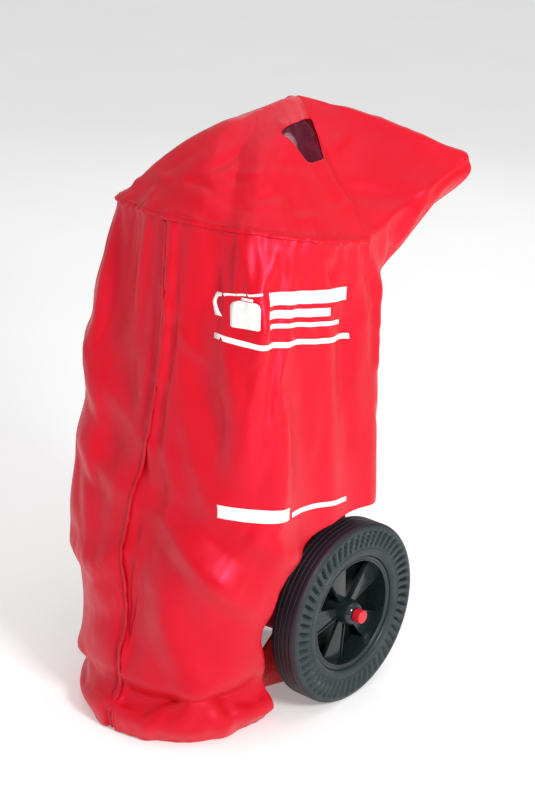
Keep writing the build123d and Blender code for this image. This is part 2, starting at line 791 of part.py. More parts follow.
for side, sign in (("left", -1), ("right", 1)):
    with BuildPart() as hub_cap:
        with BuildSketch(wheel_plane(sign, hub_outer_reach + hub_gap)):
            Circle(cap_radius)
        extrude(amount=cap_length)
        fillet(faces().sort_by(Axis.X)[-1 if sign > 0 else 0].edges(), cap_fillet)
        with BuildSketch(wheel_plane(sign, hub_outer_reach + hub_gap)):
            Circle(cap_radius - cap_wall)
        extrude(amount=clip_thickness, mode=Mode.SUBTRACT)
        with BuildSketch(wheel_plane(sign, hub_outer_reach + hub_gap)):
            Circle(axle_radius)
        extrude(amount=axle_half - hub_outer - hub_gap, mode=Mode.SUBTRACT)
    save(f"hub_cap_{side}", hub_cap)

    with BuildPart() as wheel_bush:
        with BuildSketch(wheel_plane(sign, -hub_inner_reach)):
            Circle(bush_radius)
            Circle(axle_radius + running_clearance, mode=Mode.SUBTRACT)
        extrude(amount=hub_inner_reach + hub_outer_reach)
    save(f"wheel_bush_{side}", wheel_bush)

    with BuildPart() as rim:
        with BuildSketch(wheel_plane(sign, -rim_width / 2)):
            Circle(rim_radius)
            Circle(rim_radius - rim_wall, mode=Mode.SUBTRACT)
        extrude(amount=rim_width)
        web_root, web_end = hub_radius - web_sink, rim_radius - rim_wall / 2
        with BuildSketch(wheel_plane(sign, -web_thickness / 2)):
            with PolarLocations(0, web_count, start_angle=web_turn):
                Polygon(
                    (web_root, -web_width_at_hub / 2),
                    (web_end, -web_width_at_rim / 2),
                    (web_end, web_width_at_rim / 2),
                    (web_root, web_width_at_hub / 2),
                    align=None,
                )
        extrude(amount=web_thickness)
        with BuildSketch(wheel_plane(sign, -rim_width / 2)):
            Circle(web_end)
        extrude(amount=rim_back_thickness)
        with BuildSketch(wheel_plane(sign, -hub_inner_reach)):
            Circle(hub_radius)
        extrude(amount=hub_inner_reach + hub_outer_reach)
        with BuildSketch(wheel_plane(sign, -hub_inner_reach)):
            Circle(bush_radius)
        extrude(amount=hub_inner_reach + hub_outer_reach, mode=Mode.SUBTRACT)
    save(f"rim_{side}", rim)

    wheel_side = Plane((sign * track / 2, axle_y, axle_z), x_dir=(sign, 0, 0), z_dir=(0, -1, 0))
    with BuildPart() as tyre:
        with BuildSketch(wheel_side):
            with BuildLine():
                Polyline(
                    (-rim_width / 2, rim_radius),
                    (rim_width / 2, rim_radius),
                    (tyre_width / 2, rim_radius + bead_height),
                    (tyre_width / 2, wheel_radius),
                    (-tyre_width / 2, wheel_radius),
                    (-tyre_width / 2, rim_radius + bead_height),
                    close=True,
                )
            make_face()
            fillet(vertices().group_by(Axis.Z)[-1], tyre_corner)
            with Locations((0, wheel_radius)):
                with GridLocations(tyre_width / (tread_grooves + 1), 1, tread_grooves, 1):
                    Rectangle(tread_groove_width, 2 * tread_groove_depth, mode=Mode.SUBTRACT)
        revolve(axis=Axis((0, axle_y, axle_z), (1, 0, 0)))
    save(f"tyre_{side}", tyre)


# Cover --------------------------------------------------------------------------------
def level_plane(height, front, back):
    return Plane((0, axle_y + (front + back) / 2, height), x_dir=(1, 0, 0), z_dir=(0, 0, 1))


def cover_solid(inset, open_below):
    """The filled shape of the cover, moved in by its wall."""
    with BuildPart() as body:
        for height, half_width, front, back, corner in cover_levels:
            with BuildSketch(level_plane(height, front, back)):
                RectangleRounded(2 * (half_width - inset), back - front - 2 * inset, corner - inset)
        with BuildSketch(across(ring_height)):
            Circle(ring_radius - inset)
        loft(ruled=True)
        if open_below:
            height, half_width, front, back, corner = cover_levels[0]
            with BuildSketch(level_plane(height, front, back)):
                RectangleRounded(2 * (half_width - inset), back - front - 2 * inset, corner - inset)
            extrude(amount=-big / 10)
    with BuildPart() as crown:
        with BuildSketch(across(ring_height)):
            Circle(ring_radius - inset)
        centre_x = (crown_low_x + crown_high_x) / 2
        centre_y = axle_y + (crown_front + crown_back) / 2
        with BuildSketch(Plane((centre_x, centre_y, crown_height - inset), x_dir=(1, 0, 0), z_dir=(0, 0, 1))):
            RectangleRounded(
                crown_high_x - crown_low_x - 2 * inset,
                crown_back - crown_front - 2 * inset,
                crown_corner - inset,
            )
        loft(ruled=True)
    with BuildPart() as pocket:
        for section, (y, half, low, high) in enumerate(pocket_sections):
            if section == 0:
                y += inset
            if section == len(pocket_sections) - 1:
                y -= inset
            facing_back = Plane((0, axle_y + y, (low + high) / 2), x_dir=(-1, 0, 0), z_dir=(0, 1, 0))
            with BuildSketch(facing_back):
                RectangleRounded(2 * (half - inset), high - low - 2 * inset, pocket_corner - inset)
        loft(ruled=True)
    with BuildPart() as whole:
        add(body.part)
        add(crown.part)
        add(pocket.part)
    return whole.part


with BuildPart() as cover_shell:
    add(cover_solid(0.0, False))
    add(cover_solid(cover_wall, True), mode=Mode.SUBTRACT)
    for sign in (-1, 1):
        with BuildSketch(upright(sign * arch_half_width, axle_y)):
            with BuildLine():
                Polyline(
                    (arch_front, -1),
                    (arch_front, arch_top - arch_slope_rise),
                    (arch_front + arch_slope, arch_top),
                    (big, arch_top),
                    (big, -1),
                    close=True,
                )
            make_face()
        extrude(amount=sign * big / 10, mode=Mode.SUBTRACT)

window_x, window_y, window_z = window_centre
window_plane = Plane((window_x, axle_y + window_y, window_z), x_dir=(0, 1, 0), z_dir=window_facing)
with BuildPart() as window_prism:
    with BuildSketch(window_plane.offset(-window_reach)):
        RectangleRounded(window_width, window_height, window_corner)
    extrude(amount=2 * window_reach)

with BuildPart() as above_ring:
    with BuildSketch(across(ring_height)):
        Rectangle(big, big)
    extrude(amount=big)

with BuildPart() as cover_window:
    add(cover_shell.part)
    add(window_prism.part, mode=Mode.INTERSECT)
save("cover_window", cover_window)

with BuildPart() as cover_top_panel:
    add(cover_shell.part)
    add(above_ring.part, mode=Mode.INTERSECT)
    add(window_prism.part, mode=Mode.SUBTRACT)
save("cover_top_panel", cover_top_panel)

for side, sign in (("left", -1), ("right", 1)):
    with BuildPart() as cover_side_panel:
        add(cover_shell.part)
        add(above_ring.part, mode=Mode.SUBTRACT)
        with BuildSketch(upright(0)):
            Rectangle(2 * big, 2 * big)
        extrude(amount=sign * big, mode=Mode.INTERSECT)
    save(f"cover_{side}_panel", cover_side_panel)
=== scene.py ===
"""Looks of the wheeled fire extinguisher: its loose cover, window, prints, wheels and hardware.

Row frame, metres. The cover's sections and outlines are given in millimetres: x to the right-hand wheel,
y back from the axle, z above the floor.
"""

import json
from math import cos, pi, radians, sin

import bmesh
import bpy
import numpy as np
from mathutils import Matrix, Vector
from mathutils.bvhtree import BVHTree


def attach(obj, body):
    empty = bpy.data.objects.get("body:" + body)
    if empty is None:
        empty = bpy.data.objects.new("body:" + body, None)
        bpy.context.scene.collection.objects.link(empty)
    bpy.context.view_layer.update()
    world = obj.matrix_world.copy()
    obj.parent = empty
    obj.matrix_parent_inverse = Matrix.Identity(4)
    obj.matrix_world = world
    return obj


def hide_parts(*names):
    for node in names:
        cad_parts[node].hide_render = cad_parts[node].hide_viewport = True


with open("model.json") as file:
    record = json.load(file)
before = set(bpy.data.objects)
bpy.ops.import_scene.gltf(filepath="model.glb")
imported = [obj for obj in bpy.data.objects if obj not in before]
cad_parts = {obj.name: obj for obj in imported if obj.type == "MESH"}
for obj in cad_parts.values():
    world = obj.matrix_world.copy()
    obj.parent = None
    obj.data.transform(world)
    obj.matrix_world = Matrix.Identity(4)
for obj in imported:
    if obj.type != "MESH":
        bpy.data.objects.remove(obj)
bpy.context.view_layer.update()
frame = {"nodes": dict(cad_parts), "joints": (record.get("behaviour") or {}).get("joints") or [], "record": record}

MM = 0.001
rng = np.random.default_rng(7)
joints = {j["name"]: j for j in frame["joints"]}
wheel_joint = joints["wheel_right_spin"]["pos_m"]
TRACK_HALF, AXLE_Y, WHEEL_R = wheel_joint[0], wheel_joint[1], wheel_joint[2]
node_slot = {s["node"]: s["material_slot"] for s in frame["record"]["subparts"]}

# Camera: azimuth and elevation of the view, and the point it looks at
CAMERA_AZIMUTH, CAMERA_ELEVATION = 41.24, 22.24
CAMERA_TARGET = Vector((0.0196, 0.2852, 0.4583))
CAMERA_DISTANCE = 3.0
CAMERA_LENS, SENSOR_HEIGHT = 84.5, 36.0


def place(x, y, z):
    """A point given in millimetres from the axle's line, in the row frame."""
    return np.array((x * MM, y * MM + AXLE_Y, z * MM))


# Meshes -------------------------------------------------------------------------------------------
def make_object(name, vertices, faces, material=None, smooth=True):
    mesh = bpy.data.meshes.new(name)
    mesh.from_pydata([tuple(v) for v in vertices], [], [tuple(f) for f in faces])
    mesh.validate()
    mesh.update()
    mesh.polygons.foreach_set("use_smooth", [smooth] * len(mesh.polygons))
    piece = bpy.data.objects.new(name, mesh)
    bpy.context.scene.collection.objects.link(piece)
    if material:
        mesh.materials.append(material)
    return piece


def grid_faces(rows, columns, closed):
    """Quads of a grid of points stored row by row; closed joins the last column to the first."""
    steps = columns if closed else columns - 1
    row, column = np.meshgrid(np.arange(rows - 1), np.arange(steps), indexing="ij")
    after = (column + 1) % columns
    low, high = row * columns, (row + 1) * columns
    quads = (low + column, low + after, high + after, high + column)
    return np.stack([q.ravel() for q in quads], axis=1)


def apply_modifiers(piece):
    """Turns the piece's modifiers into its mesh."""
    depsgraph = bpy.context.evaluated_depsgraph_get()
    mesh = bpy.data.meshes.new_from_object(piece.evaluated_get(depsgraph))
    piece.modifiers.clear()
    piece.data = mesh


def points_of(mesh):
    co = np.empty(len(mesh.vertices) * 3, np.float32)
    mesh.vertices.foreach_get("co", co)
    return co.reshape(-1, 3).astype(float)


def set_points(mesh, co):
    mesh.vertices.foreach_set("co", np.asarray(co, np.float32).ravel())
    mesh.update()


def smooth_by_angle(piece, degrees=35.0):
    mesh = piece.data
    mesh.polygons.foreach_set("use_smooth", [True] * len(mesh.polygons))
    mesh.set_sharp_from_angle(angle=radians(degrees))


# Materials ----------------------------------------------------------------------------------------
def principled(name, colour, roughness=0.5, metallic=0.0, **values):
    """A new material, its node tree, its shader and its object coordinates."""
    material = bpy.data.materials.new(name)
    material.use_nodes = True
    tree = material.node_tree
    shader = tree.nodes["Principled BSDF"]
    shader.inputs["Base Color"].default_value = (*colour, 1.0)
    shader.inputs["Roughness"].default_value = roughness
    shader.inputs["Metallic"].default_value = metallic
    for key, value in values.items():
        shader.inputs[key.replace("_", " ")].default_value = value
    coordinates = tree.nodes.new("ShaderNodeTexCoord")
    return material, tree, shader, coordinates.outputs["Object"]


def noise(tree, vector, scale, detail=3.0, roughness=0.5):
    node = tree.nodes.new("ShaderNodeTexNoise")
    node.inputs["Scale"].default_value = scale
    node.inputs["Detail"].default_value = detail
    node.inputs["Roughness"].default_value = roughness
    tree.links.new(vector, node.inputs["Vector"])
    return node.outputs["Fac"]


def ramp(tree, factor, stops):
    """A colour ramp through (position, colour) stops; a colour is three numbers or a grey."""
    node = tree.nodes.new("ShaderNodeValToRGB")
    elements = node.color_ramp.elements
    while len(elements) < len(stops):
        elements.new(0.5)
    for element, (position, colour) in zip(elements, stops):
        element.position = position
        element.color = (*colour, 1.0) if isinstance(colour, tuple) else (colour, colour, colour, 1.0)
    tree.links.new(factor, node.inputs["Fac"])
    return node.outputs["Color"]


def bump(tree, shader, height, strength, distance, under=None):
    node = tree.nodes.new("ShaderNodeBump")
    node.inputs["Strength"].default_value = strength
    node.inputs["Distance"].default_value = distance
    tree.links.new(height, node.inputs["Height"])
    if under is not None:
        tree.links.new(under, node.inputs["Normal"])
    tree.links.new(node.outputs["Normal"], shader.inputs["Normal"])
    return node.outputs["Normal"]


def waves(tree, vector, scale, direction):
    """Fine parallel threads along one axis."""
    node = tree.nodes.new("ShaderNodeTexWave")
    node.wave_type = "BANDS"
    node.bands_direction = direction
    node.wave_profile = "SIN"
    node.inputs["Scale"].default_value = scale
    node.inputs["Distortion"].default_value = 0.6
    node.inputs["Detail"].default_value = 1.0
    tree.links.new(vector, node.inputs["Vector"])
    return node.outputs["Fac"]


def mixed(tree, kind, a, b):
    node = tree.nodes.new("ShaderNodeMath")
    node.operation = kind
    tree.links.new(a, node.inputs[0])
    tree.links.new(b, node.inputs[1])
    return node.outputs["Value"]


def cover_fabric():
    """Red coated fabric: saturated, softly glossy, with a fine weave and faint handling marks."""
    material, tree, shader, position = principled(
        "coated_fabric", (0.72, 0.003, 0.006), 0.36, Specular_IOR_Level=0.85, Sheen_Weight=0.06,
    )
    shader.inputs["Specular Tint"].default_value = (1.0, 0.20, 0.42, 1.0)
    shader.inputs["Sheen Tint"].default_value = (1.0, 0.20, 0.40, 1.0)
    mottling = noise(tree, position, 5.0, 4.0)
    stops = [(0.30, (0.56, 0.0015, 0.004)), (0.52, (0.61, 0.002, 0.006)), (0.72, (0.65, 0.004, 0.010))]
    tint = ramp(tree, mottling, stops)
    tree.links.new(tint, shader.inputs["Base Color"])
    marks = noise(tree, position, 26.0, 5.0, 0.6)
    gloss = ramp(tree, marks, [(0.30, 0.36), (0.70, 0.50)])
    tree.links.new(gloss, shader.inputs["Roughness"])
    threads = mixed(tree, "ADD", waves(tree, position, 420.0, "Z"), waves(tree, position, 420.0, "DIAGONAL"))
    weave = bump(tree, shader, threads, 0.10, 0.0002)
    crumple = noise(tree, position, 60.0, 4.0, 0.55)
    bump(tree, shader, crumple, 0.16, 0.0012, weave)
    return material


def cover_lining():
    material, tree, shader, position = principled("fabric_lining", (0.50, 0.006, 0.03), 0.6)
    stops = [(0.3, (0.46, 0.010, 0.05)), (0.7, (0.58, 0.014, 0.07))]
    tint = ramp(tree, noise(tree, position, 9.0, 3.0), stops)
    tree.links.new(tint, shader.inputs["Base Color"])
    bump(tree, shader, waves(tree, position, 420.0, "Z"), 0.15, 0.0002)
    return material


def white_print():
    material, tree, shader, position = principled("white_print", (0.90, 0.88, 0.86), 0.38)
    stops = [(0.25, (0.80, 0.74, 0.73)), (0.5, (0.93, 0.90, 0.89))]
    tint = ramp(tree, noise(tree, position, 120.0, 4.0), stops)
    tree.links.new(tint, shader.inputs["Base Color"])
    bump(tree, shader, noise(tree, position, 500.0, 2.0), 0.08, 0.0003)
    return material


def window_film():
    """Clear film: mostly lets light through, with a faint wine tint and a gloss."""
    material, tree, shader, position = principled(
        "clear_film", (0.24, 0.006, 0.040), 0.08, Specular_IOR_Level=0.6,
    )
    clear = tree.nodes.new("ShaderNodeBsdfTransparent")
    clear.inputs["Color"].default_value = (0.95, 0.86, 0.90, 1.0)
    mix = tree.nodes.new("ShaderNodeMixShader")
    haze = ramp(tree, noise(tree, position, 30.0, 3.0), [(0.35, 0.16), (0.75, 0.30)])
    tree.links.new(haze, mix.inputs["Fac"])
    tree.links.new(clear.outputs["BSDF"], mix.inputs[1])
    tree.links.new(shader.outputs["BSDF"], mix.inputs[2])
    tree.links.new(mix.outputs["Shader"], tree.nodes["Material Output"].inputs["Surface"])
    bump(tree, shader, noise(tree, position, 40.0, 3.0), 0.25, 0.001)
    return material


def rubber(name, dark, light, roughness, grain=380.0):
    material, tree, shader, position = principled(name, dark, roughness, Specular_IOR_Level=0.4)
    tint = ramp(tree, noise(tree, position, 14.0, 5.0, 0.6), [(0.30, dark), (0.75, light)])
    tree.links.new(tint, shader.inputs["Base Color"])
    wear = ramp(tree, noise(tree, position, 40.0, 4.0), [(0.3, roughness - 0.08), (0.7, roughness + 0.10)])
    tree.links.new(wear, shader.inputs["Roughness"])
    bump(tree, shader, noise(tree, position, grain, 4.0), 0.25, 0.0004)
    return material


def paint(name, dark, light, roughness, metallic=0.0, peel=160.0, strength=0.08):
    material, tree, shader, position = principled(name, light, roughness, metallic)
    tint = ramp(tree, noise(tree, position, 9.0, 4.0), [(0.25, dark), (0.7, light)])
    tree.links.new(tint, shader.inputs["Base Color"])
    stops = [(0.3, max(0.05, roughness - 0.08)), (0.7, roughness + 0.12)]
    gloss = ramp(tree, noise(tree, position, 45.0, 4.0), stops)
    tree.links.new(gloss, shader.inputs["Roughness"])
    bump(tree, shader, noise(tree, position, peel, 3.0), strength, 0.0006)
    return material


def clear_lens():
    material, tree, shader, position = principled(
        "gauge_glass", (0.9, 0.95, 0.95), 0.03, Specular_IOR_Level=0.6,
    )
    clear = tree.nodes.new("ShaderNodeBsdfTransparent")
    mix = tree.nodes.new("ShaderNodeMixShader")
    smear = ramp(tree, noise(tree, position, 90.0, 3.0), [(0.4, 0.06), (0.8, 0.14)])
    tree.links.new(smear, mix.inputs["Fac"])
    tree.links.new(clear.outputs["BSDF"], mix.inputs[1])
    tree.links.new(shader.outputs["BSDF"], mix.inputs[2])
    tree.links.new(mix.outputs["Shader"], tree.nodes["Material Output"].inputs["Surface"])
    return material


FABRIC, LINING, PRINT, FILM = cover_fabric(), cover_lining(), white_print(), window_film()
SLOT_MATERIALS = {
    "cover_pvc": FABRIC,
    "window_film": FILM,
    "tyre_rubber": rubber("tyre_rubber", (0.010, 0.010, 0.013), (0.024, 0.022, 0.030), 0.50),
    "rim_plastic": paint("rim_plastic", (0.018, 0.030, 0.032), (0.030, 0.046, 0.050), 0.30, peel=240.0),
    "cap_plastic": paint("cap_plastic", (0.60, 0.008, 0.02), (0.78, 0.014, 0.03), 0.32),
    "cylinder_paint": paint("cylinder_paint", (0.55, 0.006, 0.008), (0.66, 0.010, 0.012), 0.22, peel=70.0),
    "powder": paint("powder", (0.50, 0.52, 0.60), (0.72, 0.74, 0.80), 0.9, peel=900.0, strength=0.4),
    "siphon_plastic": paint("siphon_plastic", (0.55, 0.54, 0.50), (0.70, 0.69, 0.65), 0.5),
    "valve_brass": paint("valve_brass", (0.62, 0.43, 0.16), (0.80, 0.58, 0.26), 0.28, metallic=1.0),
    "seal_rubber": rubber("seal_rubber", (0.012, 0.012, 0.012), (0.03, 0.03, 0.03), 0.6),
    "stem_steel": paint("stem_steel", (0.50, 0.50, 0.50), (0.66, 0.66, 0.67), 0.26, metallic=1.0),
    "lever_paint": paint("lever_paint", (0.012, 0.012, 0.012), (0.028, 0.028, 0.028), 0.36),
    "gauge_chrome": paint("gauge_chrome", (0.72, 0.72, 0.73), (0.86, 0.86, 0.87), 0.12, metallic=1.0),
    "gauge_face": paint("gauge_face", (0.82, 0.82, 0.82), (0.93, 0.93, 0.93), 0.5),
    "gauge_pointer": paint("gauge_pointer", (0.01, 0.01, 0.01), (0.03, 0.03, 0.03), 0.5),
    "gauge_window": clear_lens(),
    "frame_paint": paint("frame_paint", (0.55, 0.006, 0.008), (0.68, 0.010, 0.012), 0.30, peel=110.0),
    "black_plastic": paint("black_plastic", (0.010, 0.010, 0.010), (0.024, 0.024, 0.024), 0.45, peel=300.0),
    "grip_rubber": rubber("grip_rubber", (0.014, 0.014, 0.014), (0.034, 0.034, 0.034), 0.62),
    "strap_steel": paint("strap_steel", (0.46, 0.46, 0.45), (0.62, 0.62, 0.61), 0.34, metallic=1.0),
}


def dress_cad_nodes():
    """Every CAD node takes the material of its slot."""
    for name, node in frame["nodes"].items():
        material = SLOT_MATERIALS[node_slot[name]]
        node.data.materials.clear()
        node.data.materials.append(material)
        smooth_by_angle(node)


# Cover --------------------------------------------------------------------------------------------
# Height, then the front half of the section: half width, front, where its corner starts across and
# along, how full the corner is; then the back: how far back and its corner's radius.
SECTIONS = np.array((
    (3.0, 156.0, -327.0, 16.0, -150.0, 1.75, 78.0, 50.0),
    (26.0, 168.0, -330.0, 16.0, -150.0, 1.80, 82.0, 52.0),
    (70.0, 166.0, -316.0, 16.0, -140.0, 1.85, 84.0, 56.0),
    (137.0, 175.0, -307.0, 16.0, -130.0, 1.95, 88.0, 60.0),
    (220.0, 192.0, -293.0, 30.0, -130.0, 2.05, 90.0, 62.0),
    (300.0, 202.0, -277.0, 78.0, -158.0, 2.10, 94.0, 62.0),
    (410.0, 206.0, -246.0, 98.0, -142.0, 2.10, 99.0, 66.0),
    (500.0, 203.0, -229.0, 112.0, -138.0, 2.05, 108.0, 70.0),
    (614.0, 194.0, -214.0, 108.0, -134.0, 2.00, 126.0, 78.0),
    (690.0, 191.0, -204.0, 98.0, -120.0, 2.00, 150.0, 96.0),
))
LEAN = radians(13.0)
RING_CENTRE = (0.0, -11.0, 768.4)
RING_HALF_WIDTH, RING_REACH = 200.0, 184.0
PINCH_ANGLE = 106.0  # round the ring from the front to the pinch above the side's back edge
HANDLE_TIP = (204.0, 284.0, 838.0)
HANDLE_MIDDLE = (0.0, 293.0, 843.0)
PEAK_FRONT, PEAK_BACK = (0.0, 14.0, 926.0), (0.0, 112.0, 932.0)
FRONT_COLUMNS, CORNER_COLUMNS, SIDE_COLUMNS = 14, 26, 24
BACK_CORNER_COLUMNS, BACK_COLUMNS = 18, 20
BODY_ROWS, HOOD_ROWS = 84, 34
FABRIC_THICKNESS = 0.0008


def spread(count, last=False):
    """count fractions from 0 towards 1; last adds the 1."""
    return np.linspace(0.0, 1.0, count + 1)[: count + (1 if last else 0)]


def section_half(level):
    """The right half of a section, from the front seam round to the middle of the back, as x, y columns."""
    z, half, front, corner_x, corner_y, fullness, back, back_corner = level
    flat = [(corner_x * t, front) for t in spread(FRONT_COLUMNS)]
    corner = []
    for t in spread(CORNER_COLUMNS):
        a = t * pi / 2
        corner.append((
            corner_x + (half - corner_x) * sin(a) ** (2 / fullness),
            corner_y + (front - corner_y) * cos(a) ** (2 / fullness),
        ))
    side_end = back - back_corner
    side = [(half, corner_y + (side_end - corner_y) * t) for t in spread(SIDE_COLUMNS)]
    turn = []
    for t in spread(BACK_CORNER_COLUMNS):
        a = t * pi / 2
        turn.append((half - back_corner + back_corner * cos(a), side_end + back_corner * sin(a)))
    rear = [((half - back_corner) * (1 - t), back) for t in spread(BACK_COLUMNS, last=True)]
    return np.array(flat + corner + side + turn + rear)


def ring_point(angle):
    """A point of the ring seam, which lies square to the leaning cylinder."""
    a = radians(angle)
    forward = RING_REACH * cos(a)
    return (
        RING_HALF_WIDTH * sin(a),
        RING_CENTRE[1] - forward * cos(LEAN),
        RING_CENTRE[2] + forward * sin(LEAN),
    )


def top_edge_half():
    """Where body and hood meet, for the same columns: round the ring, then out along the pocket's crease."""
    ring_columns = FRONT_COLUMNS + CORNER_COLUMNS + SIDE_COLUMNS
    ring = [ring_point(PINCH_ANGLE * t) for t in spread(ring_columns)]
    pinch = np.array(ring_point(PINCH_ANGLE))
    tip, middle = np.array(HANDLE_TIP), np.array(HANDLE_MIDDLE)
    crease = [tuple(pinch + (tip - pinch) * t) for t in spread(BACK_CORNER_COLUMNS)]
    rear = []
    for t in spread(BACK_COLUMNS, last=True):
        point = tip + (middle - tip) * t
        point[1] -= 10.0 * max(0.0, 1 - t * 8) ** 2
        rear.append(tuple(point))
    return np.array(ring + crease + rear)


def hang_half(below, edge):
    """The level just under the crease: the side falls nearly straight, then turns in under the handle."""
    ring_end = FRONT_COLUMNS + CORNER_COLUMNS + SIDE_COLUMNS
    columns = len(edge)
    share = (HANG_STATION - BODY_TOP_STATION) / (1 - BODY_TOP_STATION)
    level = below + (edge - below) * share
    tip = ring_end + BACK_CORNER_COLUMNS
    drop = np.interp(np.arange(columns), hang_columns(ring_end, tip, columns), HANG_DROPS)
    hanging = edge - np.stack([np.zeros(columns), np.zeros(columns), drop], axis=1)
    level[ring_end:] = hanging[ring_end:]
    return level


def hang_columns(ring_end, tip, columns):
    """The columns at which HANG_DROPS are given."""
    return ring_end, ring_end + 3, ring_end + 6, ring_end + 10, tip - 4, tip, tip + 4, columns - 1


HANG_DROPS = (26.0, 46.0, 55.0, 38.0, 24.0, 33.0, 42.0, 42.0)
BODY_TOP_STATION, HANG_STATION = 0.8957, 0.955


def peak_half(columns):
    """Where each column ends on the crown's short ridge."""
    front, back = np.array(PEAK_FRONT), np.array(PEAK_BACK)
    start, end = FRONT_COLUMNS, FRONT_COLUMNS + CORNER_COLUMNS + SIDE_COLUMNS
    share = np.clip((np.arange(columns) - start) / (end - start), 0, 1)
    share = share * share * (3 - 2 * share)
    return front[None] + (back - front)[None] * share[:, None]


def smooth_rows(heights, values, wanted):
    """Catmull-Rom through the levels, column by column."""
    out = np.empty((len(wanted), *values.shape[1:]))
    slopes = np.gradient(values, heights, axis=0)
    for i, h in enumerate(wanted):
        k = int(np.clip(np.searchsorted(heights, h) - 1, 0, len(heights) - 2))
        gap = heights[k + 1] - heights[k]
        t = (h - heights[k]) / gap
        out[i] = (
            (2 * t**3 - 3 * t**2 + 1) * values[k] + (t**3 - 2 * t**2 + t) * gap * slopes[k]
            + (-2 * t**3 + 3 * t**2) * values[k + 1] + (t**3 - t**2) * gap * slopes[k + 1]
        )
    return out


def cover_grid():
    """The cover's base surface as (rows, columns, 3) in millimetres, and the row of the ring seam."""
    halves = np.array([section_half(level) for level in SECTIONS])
    columns = halves.shape[1]
    heights = SECTIONS[:, 0]
    levels = np.concatenate([halves, np.repeat(heights[:, None, None], columns, axis=1)], axis=2)
    edge = top_edge_half()
    fractions = np.linspace(0, 1, BODY_ROWS + 1)
    stations = np.append((heights - heights[0]) / (770.0 - heights[0]), (HANG_STATION, 1.0))
    hanging = hang_half(levels[-1], edge)
    body = smooth_rows(stations, np.concatenate([levels, hanging[None], edge[None]]), fractions)
    peak = peak_half(columns)
    hood = []
    bulge = hood_bulge(columns)
    for t in np.linspace(0, 1, HOOD_ROWS + 1)[1:]:
        point = edge + (peak - edge) * t
        swell = 4 * t * (1 - t) * (1 + 0.5 * (2 * t - 1))
        outward = edge - np.array((0.0, 60.0, 700.0))
        outward /= np.linalg.norm(outward, axis=1)[:, None]
        hood.append(point + outward * (bulge * swell)[:, None])
    half = np.concatenate([body, np.array(hood)])
    other = half[:, 1:-1][:, ::-1].copy()
    other[:, :, 0] *= -1
    return np.concatenate([half, other], axis=1), BODY_ROWS


def hood_bulge(columns):
    """How far the hood stands out from straight lines between its seam and its ridge."""
    ring_end = FRONT_COLUMNS + CORNER_COLUMNS + SIDE_COLUMNS
    at = np.arange(columns)
    stations = (0, ring_end * 0.5, ring_end, ring_end + 10, columns - 1)
    return np.interp(at, stations, (27.0, 21.0, 6.0, 8.0, 9.0))


